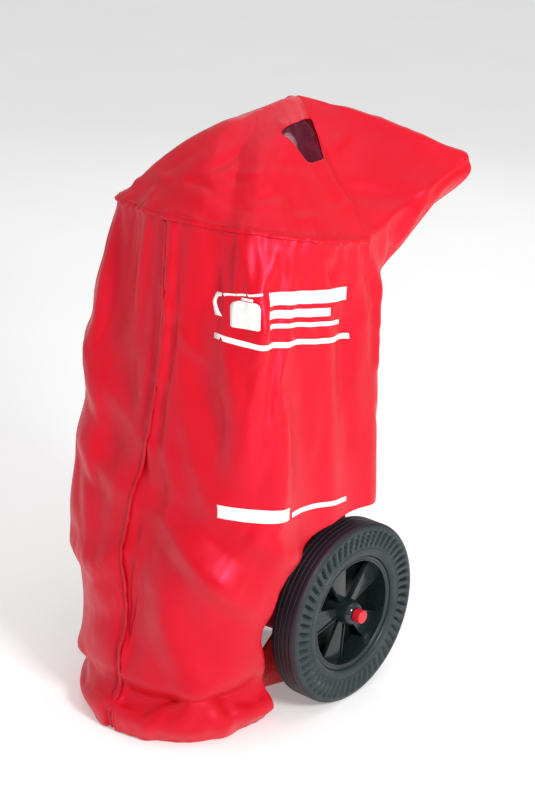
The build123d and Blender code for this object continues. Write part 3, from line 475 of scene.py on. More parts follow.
# Folds: a path of (degrees round from the front seam, height: 0 hem, 1 ring seam, 2 peak), then how far
# it stands out in millimetres before FOLD_SCALE, and how wide it is each side. Some places were found with
# a fitted camera, then rounded and moved; the others are made up. The two faces of a fold stay nearly flat.
FOLDS = (
    # hood: the ridge from the peak to the pinch, the pleat in front of it, small creases
    (((88, 1.95), (88, 1.75), (97, 1.50), (109, 1.20), (113, 1.01)), 6.0, 32.0),
    (((44, 1.92), (33, 1.70), (32, 1.38), (32, 1.01)), -7.0, 38.0),
    (((52, 1.90), (46, 1.70), (46, 1.38), (44, 1.01)), 3.5, 30.0),
    (((30, 1.66), (20, 1.50), (14, 1.44)), -4.0, 13.0),
    (((-20, 1.80), (-34, 1.40), (-40, 1.02)), 6.0, 40.0),
    (((64, 1.35), (70, 1.02)), -4.0, 24.0),
    (((100, 1.55), (120, 1.20), (128, 1.02)), -5.0, 26.0),
    (((150, 1.70), (146, 1.30), (145, 1.02)), 5.0, 30.0),
    (((-150, 1.70), (-146, 1.30), (-145, 1.02)), 5.0, 30.0),
    (((84, 1.88), (94, 1.52)), 1.4, 5.0),
    # upper body
    (((39, 1.00), (42, 0.96), (48, 0.90), (52, 0.84)), 7.0, 32.0),
    (((24, 0.98), (26, 0.88), (30, 0.80)), -8.0, 40.0),
    (((5.5, 0.99), (5, 0.85), (3.5, 0.72), (1, 0.62)), 7.0, 11.0),
    (((9.5, 0.98), (8, 0.84), (5, 0.70)), -6.0, 13.0),
    (((10, 0.86), (16, 0.82), (22, 0.80)), 5.0, 14.0),
    (((25, 0.87), (38, 0.78), (48, 0.71), (43, 0.62)), 10.0, 44.0),
    (((16, 0.76), (28, 0.68), (36, 0.60)), -9.0, 50.0),
    (((-22, 0.99), (-25, 0.90), (-28, 0.80)), -8.0, 34.0),
    (((-10, 0.97), (-12, 0.88), (-14, 0.80)), 6.0, 26.0),
    (((-44, 0.77), (-24, 0.69), (-2, 0.62)), 9.0, 38.0),
    (((-46, 0.67), (-26, 0.61), (-6, 0.56)), -9.0, 40.0),
    (((-46, 0.57), (-22, 0.53), (-3, 0.50)), 8.0, 36.0),
    (((72, 0.74), (84, 0.64), (90, 0.52)), -5.0, 46.0),
    (((60, 0.66), (66, 0.56), (64, 0.50)), 6.0, 40.0),
    (((100, 0.88), (97, 0.72), (104, 0.60)), -5.0, 30.0),
    # the side's back edge under the pinch, and the hollow behind it
    (((113, 1.00), (116, 0.90), (117.5, 0.81), (118, 0.73)), 9.0, 15.0),
    (((123, 0.985), (125, 0.90), (123, 0.80)), -13.0, 24.0),
    (((-113, 1.00), (-116, 0.90), (-118, 0.75)), 8.0, 15.0),
    (((-124, 0.98), (-125, 0.88), (-123, 0.80)), -12.0, 24.0),
    # lower body
    (((1, 0.605), (12, 0.60), (23, 0.59)), 5.0, 24.0),
    (((4, 0.53), (20, 0.50)), -7.0, 34.0),
    (((15, 0.47), (33, 0.42), (51, 0.36), (63, 0.29)), 12.0, 38.0),
    (((24, 0.51), (44, 0.45), (58, 0.41)), -9.0, 40.0),
    (((58, 0.46), (78, 0.385)), 10.0, 26.0),
    (((28, 0.34), (38, 0.23), (49, 0.12)), 10.0, 42.0),
    (((12, 0.30), (20, 0.18)), -8.0, 40.0),
    (((-70, 0.33), (-28, 0.34), (-5, 0.38)), 10.0, 34.0),
    (((-40, 0.22), (-10, 0.26)), -8.0, 40.0),
    (((18, 0.10), (33, 0.095), (49, 0.107), (60, 0.095)), -11.0, 24.0),
    (((-36, 0.10), (-12, 0.11)), -8.0, 24.0),
    (((50, 0.085), (57, 0.00)), 7.0, 20.0),
    (((38, 0.075), (35, 0.01)), 6.0, 17.0),
    (((-28, 0.05), (-8, 0.08)), 6.0, 18.0),
    # the far side and the back, which hang the same way
    (((-60, 0.90), (-72, 0.70), (-70, 0.50)), 8.0, 44.0),
    (((-84, 0.84), (-92, 0.62)), -7.0, 42.0),
    (((150, 0.92), (160, 0.70), (152, 0.50)), 8.0, 36.0),
    (((-150, 0.90), (-158, 0.66)), 8.0, 36.0),
    (((176, 0.80), (-172, 0.55), (178, 0.30)), -8.0, 40.0),
    (((140, 0.40), (158, 0.22), (150, 0.05)), 7.0, 34.0),
    (((-142, 0.42), (-160, 0.20)), 7.0, 34.0),
)
FOLD_SCALE = 1.45
PINNED_UP = (0.0, 1.0, 1.97)  # hem, ring seam and peak keep their places best while the cloth settles


def sample_grid(grid, seam_row, around, up):
    """The point of the cover's base surface at that bearing and height."""
    rows, columns = grid.shape[:2]
    column = (around / 360.0 * columns) % columns
    row = up * seam_row if up <= 1 else seam_row + (up - 1) * (rows - 1 - seam_row)
    row = min(row, rows - 1.001)
    r, c = int(row), int(column)
    fr, fc = row - r, column - c
    near, far = grid[r], grid[r + 1]
    after = (c + 1) % columns
    return (near[c] * (1 - fc) + near[after] * fc) * (1 - fr) + (far[c] * (1 - fc) + far[after] * fc) * fr


def fold_path(grid, seam_row, path, steps=9):
    """Points of the surface along a fold, and how strongly it shows at each, fading at the ends."""
    points = []
    for (a0, u0), (a1, u1) in zip(path, path[1:]):
        turn = (a1 - a0 + 180.0) % 360.0 - 180.0
        points += [sample_grid(grid, seam_row, a0 + turn * t, u0 + (u1 - u0) * t) for t in spread(steps)]
    points.append(sample_grid(grid, seam_row, *path[-1]))
    strength = np.sin(np.linspace(0.12, 1.0 - 0.12, len(points)) * pi) ** 0.6
    return np.array(points), strength


def raise_fold(points, out, path, strength, width):
    """Adds one fold to out, each point's distance to stand proud."""
    gap = np.linalg.norm(points[:, None] - path[None], axis=2)
    nearest = gap.argmin(axis=1)
    share = np.clip(1 - gap.min(axis=1) / width, 0, 1)
    out += strength[nearest] * (0.9 * share + 0.1 * share * share * (3 - 2 * share))


def wave_along(positions, waves_round, seed):
    """A smooth uneven wave of about that many periods round the cover."""
    picker = np.random.default_rng(seed)
    total = np.zeros_like(positions)
    for k in range(5):
        rate = waves_round * (0.55 + 0.28 * k)
        total += np.sin(radians(1.0) * positions * round(rate) + picker.uniform(0, 2 * pi)) / (1 + 0.5 * k)
    return total / 2.2


def crumple(points, around, up):
    """Broad flat facets meeting at sharp ridges, in millimetres."""
    picker = np.random.default_rng(11)
    metres = np.stack([np.radians(around) * 0.22, up * 0.76], axis=1)
    out = np.zeros(len(up))
    for k in range(9):
        tilt = picker.uniform(0, pi)
        turn = round(picker.uniform(1.5, 6.5))
        length = picker.uniform(0.13, 0.30)
        bend = 0.35 * np.sin(radians(1) * around * turn + picker.uniform(0, 6))
        bend += 0.3 * np.sin(9 * metres[:, 1] + k)
        phase = (np.abs(around) / 180 * 0.69 * cos(tilt) + metres[:, 1] * sin(tilt)) / length + bend
        ridge = 1 - 4 * np.abs((phase + (0.31 if k % 2 else 0.0) * (around > 0)) % 1.0 - 0.5)
        place_here = 0.5 + 0.5 * np.sin(radians(1) * around * (k % 3 + 1) + 5 * metres[:, 1] + 1.7 * k)
        out += ridge * place_here * picker.uniform(0.6, 1.5)
    seam = np.clip(np.minimum(np.abs(around), 180 - np.abs(around)) / 12, 0, 1)
    heights = (0.0, 0.08, 0.55, 0.9, 1.0, 1.25, 1.8, 2.0)
    strength = np.interp(up, heights, (0.7, 1.3, 1.2, 1.0, 0.4, 0.45, 0.3, 0.0))
    return out * strength * seam * CRUMPLE


CRUMPLE = 1.25


def seam_relief(around, up):
    """The ring seam's overhang and puckers, the front seam and the gathered hem, in millimetres."""
    out = np.zeros_like(up)
    above, below = up - 1.0, 1.0 - up
    over = (above >= 0) & (above < 0.12)
    under = (below > 0) & (below < 0.10)
    pucker = wave_along(around, 46, 3)
    out += np.where(over, 3.4 * np.exp(-above / 0.035), 0.0)
    out -= np.where(under, 4.6 * np.exp(-below / 0.012), 0.0)
    out += np.where(over | under, 2.0 * pucker * np.exp(-np.maximum(above, below * 1.6) / 0.04), 0.0)
    body = (up < 1.0)
    from_seam = np.abs(around)
    out -= np.where(body & (from_seam < 4), 3.2 * (1 - from_seam / 4), 0.0)
    across_seam = wave_along(up * 360.0, 26, 5)
    out += np.where(body & (from_seam < 14), 2.0 * across_seam * np.exp(-from_seam / 5.0), 0.0)
    hem = up < 0.09
    out += np.where(hem, 3.6 * wave_along(around, 17, 9) * (1 - up / 0.09) ** 1.2, 0.0)
    return out


def small_folds(count):
    """Short creases at random places, closer together on the shoulder above the upper print."""
    for k in range(count):
        shoulder = k < count // 3
        around = rng.uniform(46, 100) if shoulder else rng.uniform(-180, 180)
        up = rng.uniform(0.84, 0.97) if shoulder else rng.uniform(0.06, 1.75)
        turn, rise = rng.uniform(-13, 13), rng.uniform(-0.055, 0.055)
        height = rng.choice((-1, 1)) * rng.uniform(1.5, 3.4)
        path = (around - turn / 2, up - rise / 2), (around + turn / 2, up + rise / 2)
        yield path, height, rng.uniform(9, 17)


def settle(piece, hold, frames=16, spare=0.030):
    """Cloth simulation of a sheet cut a little larger than its shape, so that it buckles."""
    group = piece.vertex_groups.new(name="hold")
    for index, weight in enumerate(hold):
        group.add([index], float(weight), "REPLACE")
    cloth = piece.modifiers.new("cloth", "CLOTH")
    settings = cloth.settings
    settings.quality = 5
    settings.mass = 0.12
    settings.air_damping = 2.0
    settings.tension_stiffness = settings.compression_stiffness = 25.0
    settings.shear_stiffness = 8.0
    settings.bending_stiffness = 1.2
    settings.shrink_min = -spare
    settings.vertex_group_mass = "hold"
    settings.pin_stiffness = 1.0
    settings.effector_weights.gravity = 0.25
    cloth.collision_settings.use_collision = False
    cloth.collision_settings.use_self_collision = False
    cloth.point_cache.frame_start, cloth.point_cache.frame_end = 1, frames
    scene = bpy.context.scene
    for number in range(1, frames + 1):
        scene.frame_set(number)
    apply_modifiers(piece)
    scene.frame_set(1)


def build_cover():
    grid, seam_row = cover_grid()
    rows, columns = grid.shape[:2]
    flat = grid.reshape(-1, 3)
    around = (np.tile(np.arange(columns) / columns * 360.0, rows) + 180.0) % 360.0 - 180.0
    row = np.repeat(np.arange(rows), columns)
    up = np.where(row <= seam_row, row / seam_row, 1 + (row - seam_row) / (rows - 1 - seam_row))
    start = flat * MM + np.array((0.0, AXLE_Y, 0.0))
    piece = make_object("cover_cloth", start, grid_faces(rows, columns, True), FABRIC)
    keep = weld(piece, up > 1.99)
    around, up, points = around[keep], up[keep], flat[keep]
    out = seam_relief(around, up) + crumple(points, around, up)
    for path, height, width in (*FOLDS, *small_folds(110)):
        line, strength = fold_path(grid, seam_row, path)
        raise_fold(points, out, line, strength * height * FOLD_SCALE, width)
    normals = np.empty(len(points) * 3, np.float32)
    piece.data.vertex_normals.foreach_get("vector", normals)
    normals = normals.reshape(-1, 3)
    middle = np.array((0.0, AXLE_Y - 0.07, 0.5))
    if (normals * (points_of(piece.data) - middle)).sum() < 0:
        piece.data.flip_normals()
        normals = -normals
    shaped = points_of(piece.data) + normals * (out * MM)[:, None]
    shaped[:, 2] = np.maximum(shaped[:, 2], HEM_CLEAR)
    set_points(piece.data, shaped)
    hold = np.full(len(points), 0.03)
    for level in PINNED_UP:
        hold = np.maximum(hold, 0.7 * np.exp(-(((up - level) / 0.018) ** 2)))
    crease = np.exp(-(((np.abs(around) - 145) / 12) ** 2)) * np.exp(-(((up - 1.0) / 0.10) ** 2))
    hold = np.clip(np.maximum(hold, crease), 0, 1)
    hold = np.maximum(hold, 0.35 * (up > 1.08))
    settle(piece, hold)
    moved = points_of(piece.data) - shaped
    length = np.linalg.norm(moved, axis=1)[:, None]
    moved *= np.minimum(1.0, SETTLE_CAP / np.maximum(length, 1e-9))
    moved *= np.interp(up, (0.98, 1.06, 2.0), (1.0, 0.15, 0.1))[:, None]
    shaped = shaped + moved
    shaped[:, 2] = np.maximum(shaped[:, 2], HEM_CLEAR)
    set_points(piece.data, shaped)
    rest_over(piece, *hardware_tree())
    return piece, grid, seam_row


SETTLE_CAP, HEM_CLEAR = 0.012, 0.0015
REST_GAP, REST_LOOK = 0.004, 0.055
PIN_AXIS = Vector(joints["safety_pin_pull"]["axis"])
PIN_TRAVEL = [PIN_AXIS * reach * MM for reach in (0, 10, 20, 30)]  # the safety pin comes out under the cover
NOT_UNDER = ("cover", "tyre", "rim", "hub", "axle", "wheel", "washer", "retaining", "spacer")


def hardware_tree():
    """Everything the cover hangs over, as one tree for casting rays."""
    vertices, faces = [], []
    for name, node in frame["nodes"].items():
        if name.startswith(NOT_UNDER):
            continue
        for shift in PIN_TRAVEL if name == "safety_pin" else (Vector(),):
            start = len(vertices)
            vertices += [node.matrix_world @ v.co + shift for v in node.data.vertices]
            faces += [[start + i for i in p.vertices] for p in node.data.polygons]
    return BVHTree.FromPolygons(vertices, faces), vertices


def rest_over(piece, tree, corners):
    """Pushes the sheet out where something underneath comes closer than the gap, and eases the push in."""
    mesh = piece.data
    co = points_of(mesh)
    normals = np.array([v.normal for v in mesh.vertices])
    need = np.zeros(len(co))
    for k, (point, normal) in enumerate(zip(co, normals)):
        start = Vector(point + normal * REST_LOOK)
        hit = tree.ray_cast(start, Vector(-normal), REST_LOOK + REST_GAP)
        if hit[0] is not None:
            need[k] = REST_LOOK + REST_GAP - hit[3]
    skin = BVHTree.FromPolygons([Vector(p) for p in co], [tuple(f.vertices) for f in mesh.polygons])
    for corner in corners:
        spot, normal, face, gap = skin.find_nearest(corner, REST_LOOK / 2)
        if spot is None:
            continue
        proud = (corner - spot).dot(normal) + REST_GAP
        if proud > 0:
            for index in mesh.polygons[face].vertices:
                need[index] = max(need[index], proud)
    edges = np.array([e.vertices for e in mesh.edges])
    count = np.bincount(edges.ravel(), minlength=len(co)).astype(float)
    lift = need.copy()
    for turn in range(160):
        total = np.bincount(edges[:, 0], lift[edges[:, 1]], len(co))
        total += np.bincount(edges[:, 1], lift[edges[:, 0]], len(co))
        lift = np.maximum(need, 0.5 * lift + 0.5 * total / np.maximum(count, 1))
    set_points(mesh, co + normals * lift[:, None])


def weld(piece, chosen):
    """Merges the chosen vertices that share a place; returns the old index of each vertex that is left."""
    mesh = bmesh.new()
    mesh.from_mesh(piece.data)
    mesh.verts.ensure_lookup_table()
    tag = mesh.verts.layers.int.new("was")
    for vertex in mesh.verts:
        vertex[tag] = vertex.index
    bmesh.ops.remove_doubles(mesh, verts=[v for v in mesh.verts if chosen[v.index]], dist=0.0008)
    left = np.array([v[tag] for v in mesh.verts])
    mesh.verts.layers.int.remove(tag)
    bmesh.ops.recalc_face_normals(mesh, faces=mesh.faces)
    mesh.to_mesh(piece.data)
    mesh.free()
    piece.data.polygons.foreach_set("use_smooth", [True] * len(piece.data.polygons))
    return left


# Cutting ------------------------------------------------------------------------------------------
def prism(name, outline, plane_point, x_axis, y_axis, reach_back, reach_front):
    """A closed prism: a flat outline of (x, y) points pushed both ways along the plane's normal."""
    origin, x_axis, y_axis = Vector(plane_point), Vector(x_axis).normalized(), Vector(y_axis).normalized()
    normal = x_axis.cross(y_axis)
    base = [origin + x_axis * x + y_axis * y for x, y in outline]
    count = len(base)
    vertices = [p - normal * reach_back for p in base] + [p + normal * reach_front for p in base]
    faces = [tuple(reversed(range(count))), tuple(range(count, 2 * count))]
    faces += [(k, (k + 1) % count, count + (k + 1) % count, count + k) for k in range(count)]
    piece = make_object(name, vertices, faces, smooth=False)
    mesh = bmesh.new()
    mesh.from_mesh(piece.data)
    bmesh.ops.recalc_face_normals(mesh, faces=mesh.faces)
    mesh.to_mesh(piece.data)
    mesh.free()
    return piece


def rounded_outline(corners, radius, steps=6):
    """A polygon with its corners rounded."""
    outline = []
    count = len(corners)
    for k in range(count):
        corner = Vector(corners[k])
        before, after = Vector(corners[k - 1]) - corner, Vector(corners[(k + 1) % count]) - corner
        reach = min(radius, before.length * 0.45, after.length * 0.45)
        start, end = corner + before.normalized() * reach, corner + after.normalized() * reach
        for t in np.linspace(0, 1, steps + 1):
            outline.append(tuple(start * (1 - t) ** 2 + corner * 2 * t * (1 - t) + end * t * t))
    return outline


def boolean(piece, cutter, operation):
    modifier = piece.modifiers.new("cut", "BOOLEAN")
    modifier.operation = operation
    modifier.solver = "EXACT"
    modifier.object = cutter
    apply_modifiers(piece)


def surface_frame(grid, seam_row, around, up):
    """A point of the base surface in metres and its outward normal."""
    here = sample_grid(grid, seam_row, around, up)
    beside = sample_grid(grid, seam_row, around + 4, up) - sample_grid(grid, seam_row, around - 4, up)
    above = sample_grid(grid, seam_row, around, up + 0.03) - sample_grid(grid, seam_row, around, up - 0.03)
    normal = np.cross(beside, above)
    return Vector(place(*here)), Vector(normal / np.linalg.norm(normal))


# Window: its corners on the hood, as (degrees round, height), found with the fitted camera and rounded
WINDOW_CORNERS = ((60.0, 1.735), (113.0, 1.825), (96.0, 1.525), (81.0, 1.520))
WINDOW_ROUNDING = 0.011


def window_prism(grid, seam_row, grow=0.0):
    corners = [Vector(place(*sample_grid(grid, seam_row, *c))) for c in WINDOW_CORNERS]
    centre = sum(corners, Vector()) / len(corners)
    normal = (corners[2] - corners[0]).cross(corners[3] - corners[1]).normalized()
    if normal.z < 0:
        normal = -normal
    x_axis = Vector((0, 1, 0)) - normal * normal.y
    x_axis.normalize()
    y_axis = normal.cross(x_axis)
    flat = [((c - centre).dot(x_axis), (c - centre).dot(y_axis)) for c in corners]
    outline = rounded_outline(flat, WINDOW_ROUNDING)
    if grow:
        outline = [tuple(Vector(p) * (1 + grow / Vector(p).length)) for p in outline]
    return prism("window_cutter", outline, centre, x_axis, y_axis, 0.045, 0.03)


# Wheel cut-outs: their outline seen from the side, behind the axle and above the floor
ARCH_OUTLINE = (
    (-138.0, -20.0), (-146.0, 60.0), (-160.0, 112.0), (-176.0, 150.0), (-181.0, 188.0), (-170.0, 224.0),
    (-152.0, 262.0), (-122.0, 288.0), (-80.0, 311.0), (-30.0, 322.0), (40.0, 324.0),
    (120.0, 318.0), (160.0, 312.0), (160.0, -20.0),
)
ARCH_INNER_X = 0.120


def cut_arches(piece):
    outline = rounded_outline([(y * MM, z * MM) for y, z in ARCH_OUTLINE], 0.02, 3)
    for sign in (-1, 1):
        point = (sign * 0.2, AXLE_Y, 0.0)
        y_axis = (0, 0, 1)
        x_axis = (0, 1, 0)
        reach = (0.2 - ARCH_INNER_X, 0.1) if sign > 0 else (0.1, 0.2 - ARCH_INNER_X)
        cutter = prism("arch_cutter", outline, point, x_axis, y_axis, *reach)
        boolean(piece, cutter, "DIFFERENCE")
        bpy.data.objects.remove(cutter)


def thicken(piece, thickness, offset=-1.0, inside=0):
    modifier = piece.modifiers.new("wall", "SOLIDIFY")
    modifier.thickness = thickness
    modifier.offset = offset
    modifier.use_even_offset = False
    modifier.material_offset = inside
    apply_modifiers(piece)


def build_window(cover_sheet, grid, seam_row):
    """The clear film, let in behind the hole's edge."""
    mesh = cover_sheet.data.copy()
    film = bpy.data.objects.new("window_film", mesh)
    bpy.context.scene.collection.objects.link(film)
    patch = bmesh.new()
    patch.from_mesh(mesh)
    centre = sum((Vector(place(*sample_grid(grid, seam_row, *c))) for c in WINDOW_CORNERS), Vector()) / 4
    far = [f for f in patch.faces if (f.calc_center_median() - centre).length > 0.085]
    bmesh.ops.delete(patch, geom=far, context="FACES")
    for vertex in patch.verts:
        vertex.co -= vertex.normal * 0.0012
    patch.to_mesh(mesh)
    patch.free()
    thicken(film, 0.0004)
    cutter = window_prism(grid, seam_row, grow=0.004)
    boolean(film, cutter, "INTERSECT")
    bpy.data.objects.remove(cutter)
    film.data.materials.clear()
    film.data.materials.append(FILM)
    film.data.polygons.foreach_set("use_smooth", [True] * len(film.data.polygons))
    return film


cover, cover_grid_points, ring_row = build_cover()
subdivision = cover.modifiers.new("smooth", "SUBSURF")
subdivision.levels = subdivision.render_levels = 1
apply_modifiers(cover)
film = build_window(cover, cover_grid_points, ring_row)
cover.data.materials.append(LINING)
thicken(cover, FABRIC_THICKNESS, inside=1)
window_cutter = window_prism(cover_grid_points, ring_row)
boolean(cover, window_cutter, "DIFFERENCE")
bpy.data.objects.remove(window_cutter)
cut_arches(cover)
resting = points_of(cover.data)
resting[:, 2] = np.maximum(resting[:, 2], 0.0006)
set_points(cover.data, resting)
cover.data.polygons.foreach_set("use_smooth", [True] * len(cover.data.polygons))
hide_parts("cover_top_panel", "cover_left_panel", "cover_right_panel")
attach(cover, "cover")
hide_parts("cover_window")
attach(film, "cover")

# Prints -------------------------------------------------------------------------------------------
def ribbon(left, right, along, across):
    """A grid between two edges, each a list of (u, v) points, sampled along and across."""
    left, right = np.array(left, float), np.array(right, float)
    at = np.linspace(0, len(left) - 1, along + 1)
    index = np.arange(len(left))
    edges = [np.stack([np.interp(at, index, side[:, k]) for k in (0, 1)], axis=1) for side in (left, right)]
    rows = [edges[0] + (edges[1] - edges[0]) * t for t in np.linspace(0, 1, across + 1)]
    return np.concatenate(rows), grid_faces(across + 1, along + 1, False)


def bar(u0, v0, u1, v1, along=60, across=6):
    return ribbon([(u0, v0), (u1, v0)], [(u0, v1), (u1, v1)], along, across)


def extinguisher_mark(u, v, width, height):
    """A plain pictogram of an extinguisher: body, neck, lever, hose."""
    def at(x, y):
        return u + x * width, v + y * height
    body = [(0.27, 0.0), (0.32, 0.03), (0.32, 0.58), (0.28, 0.68), (0.18, 0.74)]
    shapes = [ribbon([at(0.60 + x, y) for x, y in body], [at(0.60 - x, y) for x, y in body], 16, 8)]
    shapes.append(bar(*at(0.50, 0.76), *at(0.70, 0.84), 4, 2))
    shapes.append(ribbon([at(0.34, 0.86), at(1.02, 0.95)], [at(0.34, 0.92), at(1.00, 1.02)], 10, 2))
    hose_out = [at(0.34, 0.92), at(0.10, 0.88), at(0.0, 0.62), at(0.04, 0.24)]
    hose_in = [at(0.34, 0.86), at(0.17, 0.82), at(0.09, 0.62), at(0.13, 0.24)]
    shapes.append(ribbon(hose_out, hose_in, 16, 2))
    return shapes


def lay_on(tree, corners, shapes, name):
    """Flat shapes, in fractions of a block whose four corners are given, laid on the cloth beneath them."""
    top_left, top_right, low_right, low_left = (Vector(place(*c)) for c in corners)
    normal = (top_right - low_left).cross(low_right - top_left)
    normal.normalize()
    if normal.x < 0:
        normal = -normal
    vertices, faces = [], []
    for points, quads in shapes:
        start = len(vertices)
        for u, v in points:
            low, top = low_left.lerp(low_right, u), top_left.lerp(top_right, u)
            point = low.lerp(top, v)
            hit = tree.ray_cast(point + normal * 0.08, -normal, 0.16)
            vertices.append((hit[0] if hit[0] is not None else point) + normal * PRINT_STAND)
        faces += [tuple(int(i) + start for i in quad) for quad in quads]
    piece = make_object(name, vertices, faces, PRINT)
    mesh = bmesh.new()
    mesh.from_mesh(piece.data)
    for face in mesh.faces:
        face.normal_update()
        if face.normal.dot(normal) < 0:
            face.normal_flip()
    mesh.to_mesh(piece.data)
    mesh.free()
    thicken(piece, PRINT_THICKNESS)
    piece.data.materials.clear()
    piece.data.materials.append(PRINT)
    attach(piece, "cover")
    return piece


PRINT_STAND, PRINT_THICKNESS = 0.0009, 0.0003
# Corners of the prints in millimetres, found with the fitted camera
UPPER_BLOCK = ((115, -192, 723), (191, 1, 697), (193, -3, 633), (123, -206, 667))
SECOND_LINE = ((129, -205, 662), (193, 2, 629), (195, 3, 606), (126, -209, 641))
LOWER_STRIPE = ((149, -238, 404), (205, -6, 369), (205, -6, 345), (149, -238, 380))


def build_prints():
    depsgraph = bpy.context.evaluated_depsgraph_get()
    tree = BVHTree.FromObject(cover, depsgraph)
    block = extinguisher_mark(0.02, 0.03, 0.19, 0.90)
    block += [bar(0.27, 0.62, 0.98, 0.94), bar(0.27, 0.30, 0.80, 0.50), bar(0.27, 0.06, 0.92, 0.17)]
    lay_on(tree, UPPER_BLOCK, block, "print_upper")
    lay_on(tree, SECOND_LINE, [bar(0.01, 0.25, 0.99, 0.62, 96, 4)], "print_line")
    stripe = [bar(0.0, 0.06, 0.42, 0.94, 60, 8), bar(0.46, 0.06, 0.99, 0.40, 60, 4)]
    lay_on(tree, LOWER_STRIPE, stripe, "print_lower")


# Seams: a narrow overhang sewn down along one edge, and its stitches
LIP_WIDTH, LIP_STAND = 0.010, 0.0030
STITCH_PITCH, STITCH_RADIUS = 0.0052, 0.0004
RING_SEAM = tuple((a, 1.0) for a in range(-112, 113, 4))
FRONT_SEAM = (
    (1.0, 0.992), (1.5, 0.93), (3.0, 0.87), (2.0, 0.75), (1.0, 0.63), (-3.0, 0.52), (-5.0, 0.45),
    (-7.0, 0.38), (-9.5, 0.26), (-8.0, 0.14), (-6.0, 0.03),
)


def seam_line(tree, path, toward):
    """Places, normals, and directions along and across a seam on the cloth, evenly spaced."""
    points, normals = [], []
    for (a0, u0), (a1, u1) in zip(path, path[1:]):
        for t in spread(10):
            around, up = a0 + (a1 - a0) * t, u0 + (u1 - u0) * t
            point, normal = surface_frame(cover_grid_points, ring_row, around, up)
            if normal.dot(point - Vector((0, AXLE_Y - 0.07, point.z))) < 0:
                normal = -normal
            hit = tree.ray_cast(point + normal * 0.06, -normal, 0.10)
            points.append(hit[0] if hit[0] is not None else point)
            normals.append(normal)
    points, normals = np.array(points), np.array(normals)
    for turn in range(2):
        points[1:-1] = (points[:-2] + 2 * points[1:-1] + points[2:]) / 4
    along = np.gradient(points, axis=0)
    along /= np.linalg.norm(along, axis=1)[:, None]
    across = np.cross(normals, along)
    across /= np.linalg.norm(across, axis=1)[:, None]
    if (across * np.array(toward)).sum() < 0:
        across = -across
    return points, normals, along, across


def build_seam(tree, name, path, toward, seed):
    points, normals, along, across = seam_line(tree, path, toward)
    count = len(points)
    ripple = 1 + 0.7 * wave_along(np.linspace(0, 360, count), 40, seed)[:, None]
    width = LIP_WIDTH * (1 + 0.12 * wave_along(np.linspace(0, 360, count), 23, seed + 1)[:, None])
    fade = np.clip(np.minimum(np.arange(count), np.arange(count)[::-1]) / 8, 0.15, 1)[:, None]
    rows = [
        points - across * width * 0.40 + normals * 0.0006,
        points - across * width * 0.10 + normals * 0.0018,
        points + across * width * 0.30 + normals * (0.0018 + LIP_STAND * 0.5 * ripple * fade),
        points + across * width * 0.60 + normals * (0.0012 + LIP_STAND * 0.7 * ripple * fade),
    ]
    piece = make_object(name, np.concatenate(rows), grid_faces(4, count, False), FABRIC)
    outward = np.tile(normals, (4, 1))
    if (np.array([v.normal for v in piece.data.vertices]) * outward).sum() < 0:
        piece.data.flip_normals()
    thicken(piece, 0.0006)
    piece.data.polygons.foreach_set("use_smooth", [True] * len(piece.data.polygons))
    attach(piece, "cover")
    length = np.concatenate([[0.0], np.cumsum(np.linalg.norm(np.diff(points, axis=0), axis=1))])
    vertices, faces = [], []
    for at in np.arange(0.006, length[-1] - 0.006, STITCH_PITCH):
        k = int(np.searchsorted(length, at))
        share = (at - length[k - 1]) / (length[k] - length[k - 1])
        centre = points[k - 1] + (points[k] - points[k - 1]) * share
        centre = centre - across[k] * LIP_WIDTH * 0.16 + normals[k] * 0.0021
        start = len(vertices)
        for end, size in ((-0.0016, 0.5), (-0.0010, 1.0), (0.0010, 1.0), (0.0016, 0.5)):
            for side, rise in ((-1, 0), (0, 1), (1, 0), (0, -1)):
                outward = (across[k] * side + normals[k] * rise) * STITCH_RADIUS * size
                vertices.append(centre + along[k] * end + outward)
        faces += [tuple(start + i for i in (3, 2, 1, 0)), tuple(start + i for i in (12, 13, 14, 15))]
        for ring in range(3):
            low = start + 4 * ring
            faces += [(low + i, low + (i + 1) % 4, low + 4 + (i + 1) % 4, low + 4 + i) for i in range(4)]
    thread = make_object(f"{name}_stitches", vertices, faces, THREAD)
    tidy_normals(thread)
    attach(thread, "cover")


def build_seams():
    tree = BVHTree.FromObject(cover, bpy.context.evaluated_depsgraph_get())
    build_seam(tree, "ring_seam", RING_SEAM, (0, 0, -1), 21)
    build_seam(tree, "front_seam", FRONT_SEAM, (1, 0, 0), 31)


THREAD = paint("sewing_thread", (0.42, 0.004, 0.010), (0.55, 0.008, 0.016), 0.7)


# Wheels -------------------------------------------------------------------------------------------
TYRE_COLUMNS_PER_CUT, SIDEWALL_CUTS = 8, 56
TREAD_RADIUS, GROOVE_PITCH, GROOVE_HALF, GROOVE_DEPTH = 150.0, 8.6, 1.0, 1.9
CUT_INNER, CUT_OUTER, CUT_DEPTH = 113.0, 139.0, 6.0
WEB_COUNT, WEB_PHASE = 5, 15.0


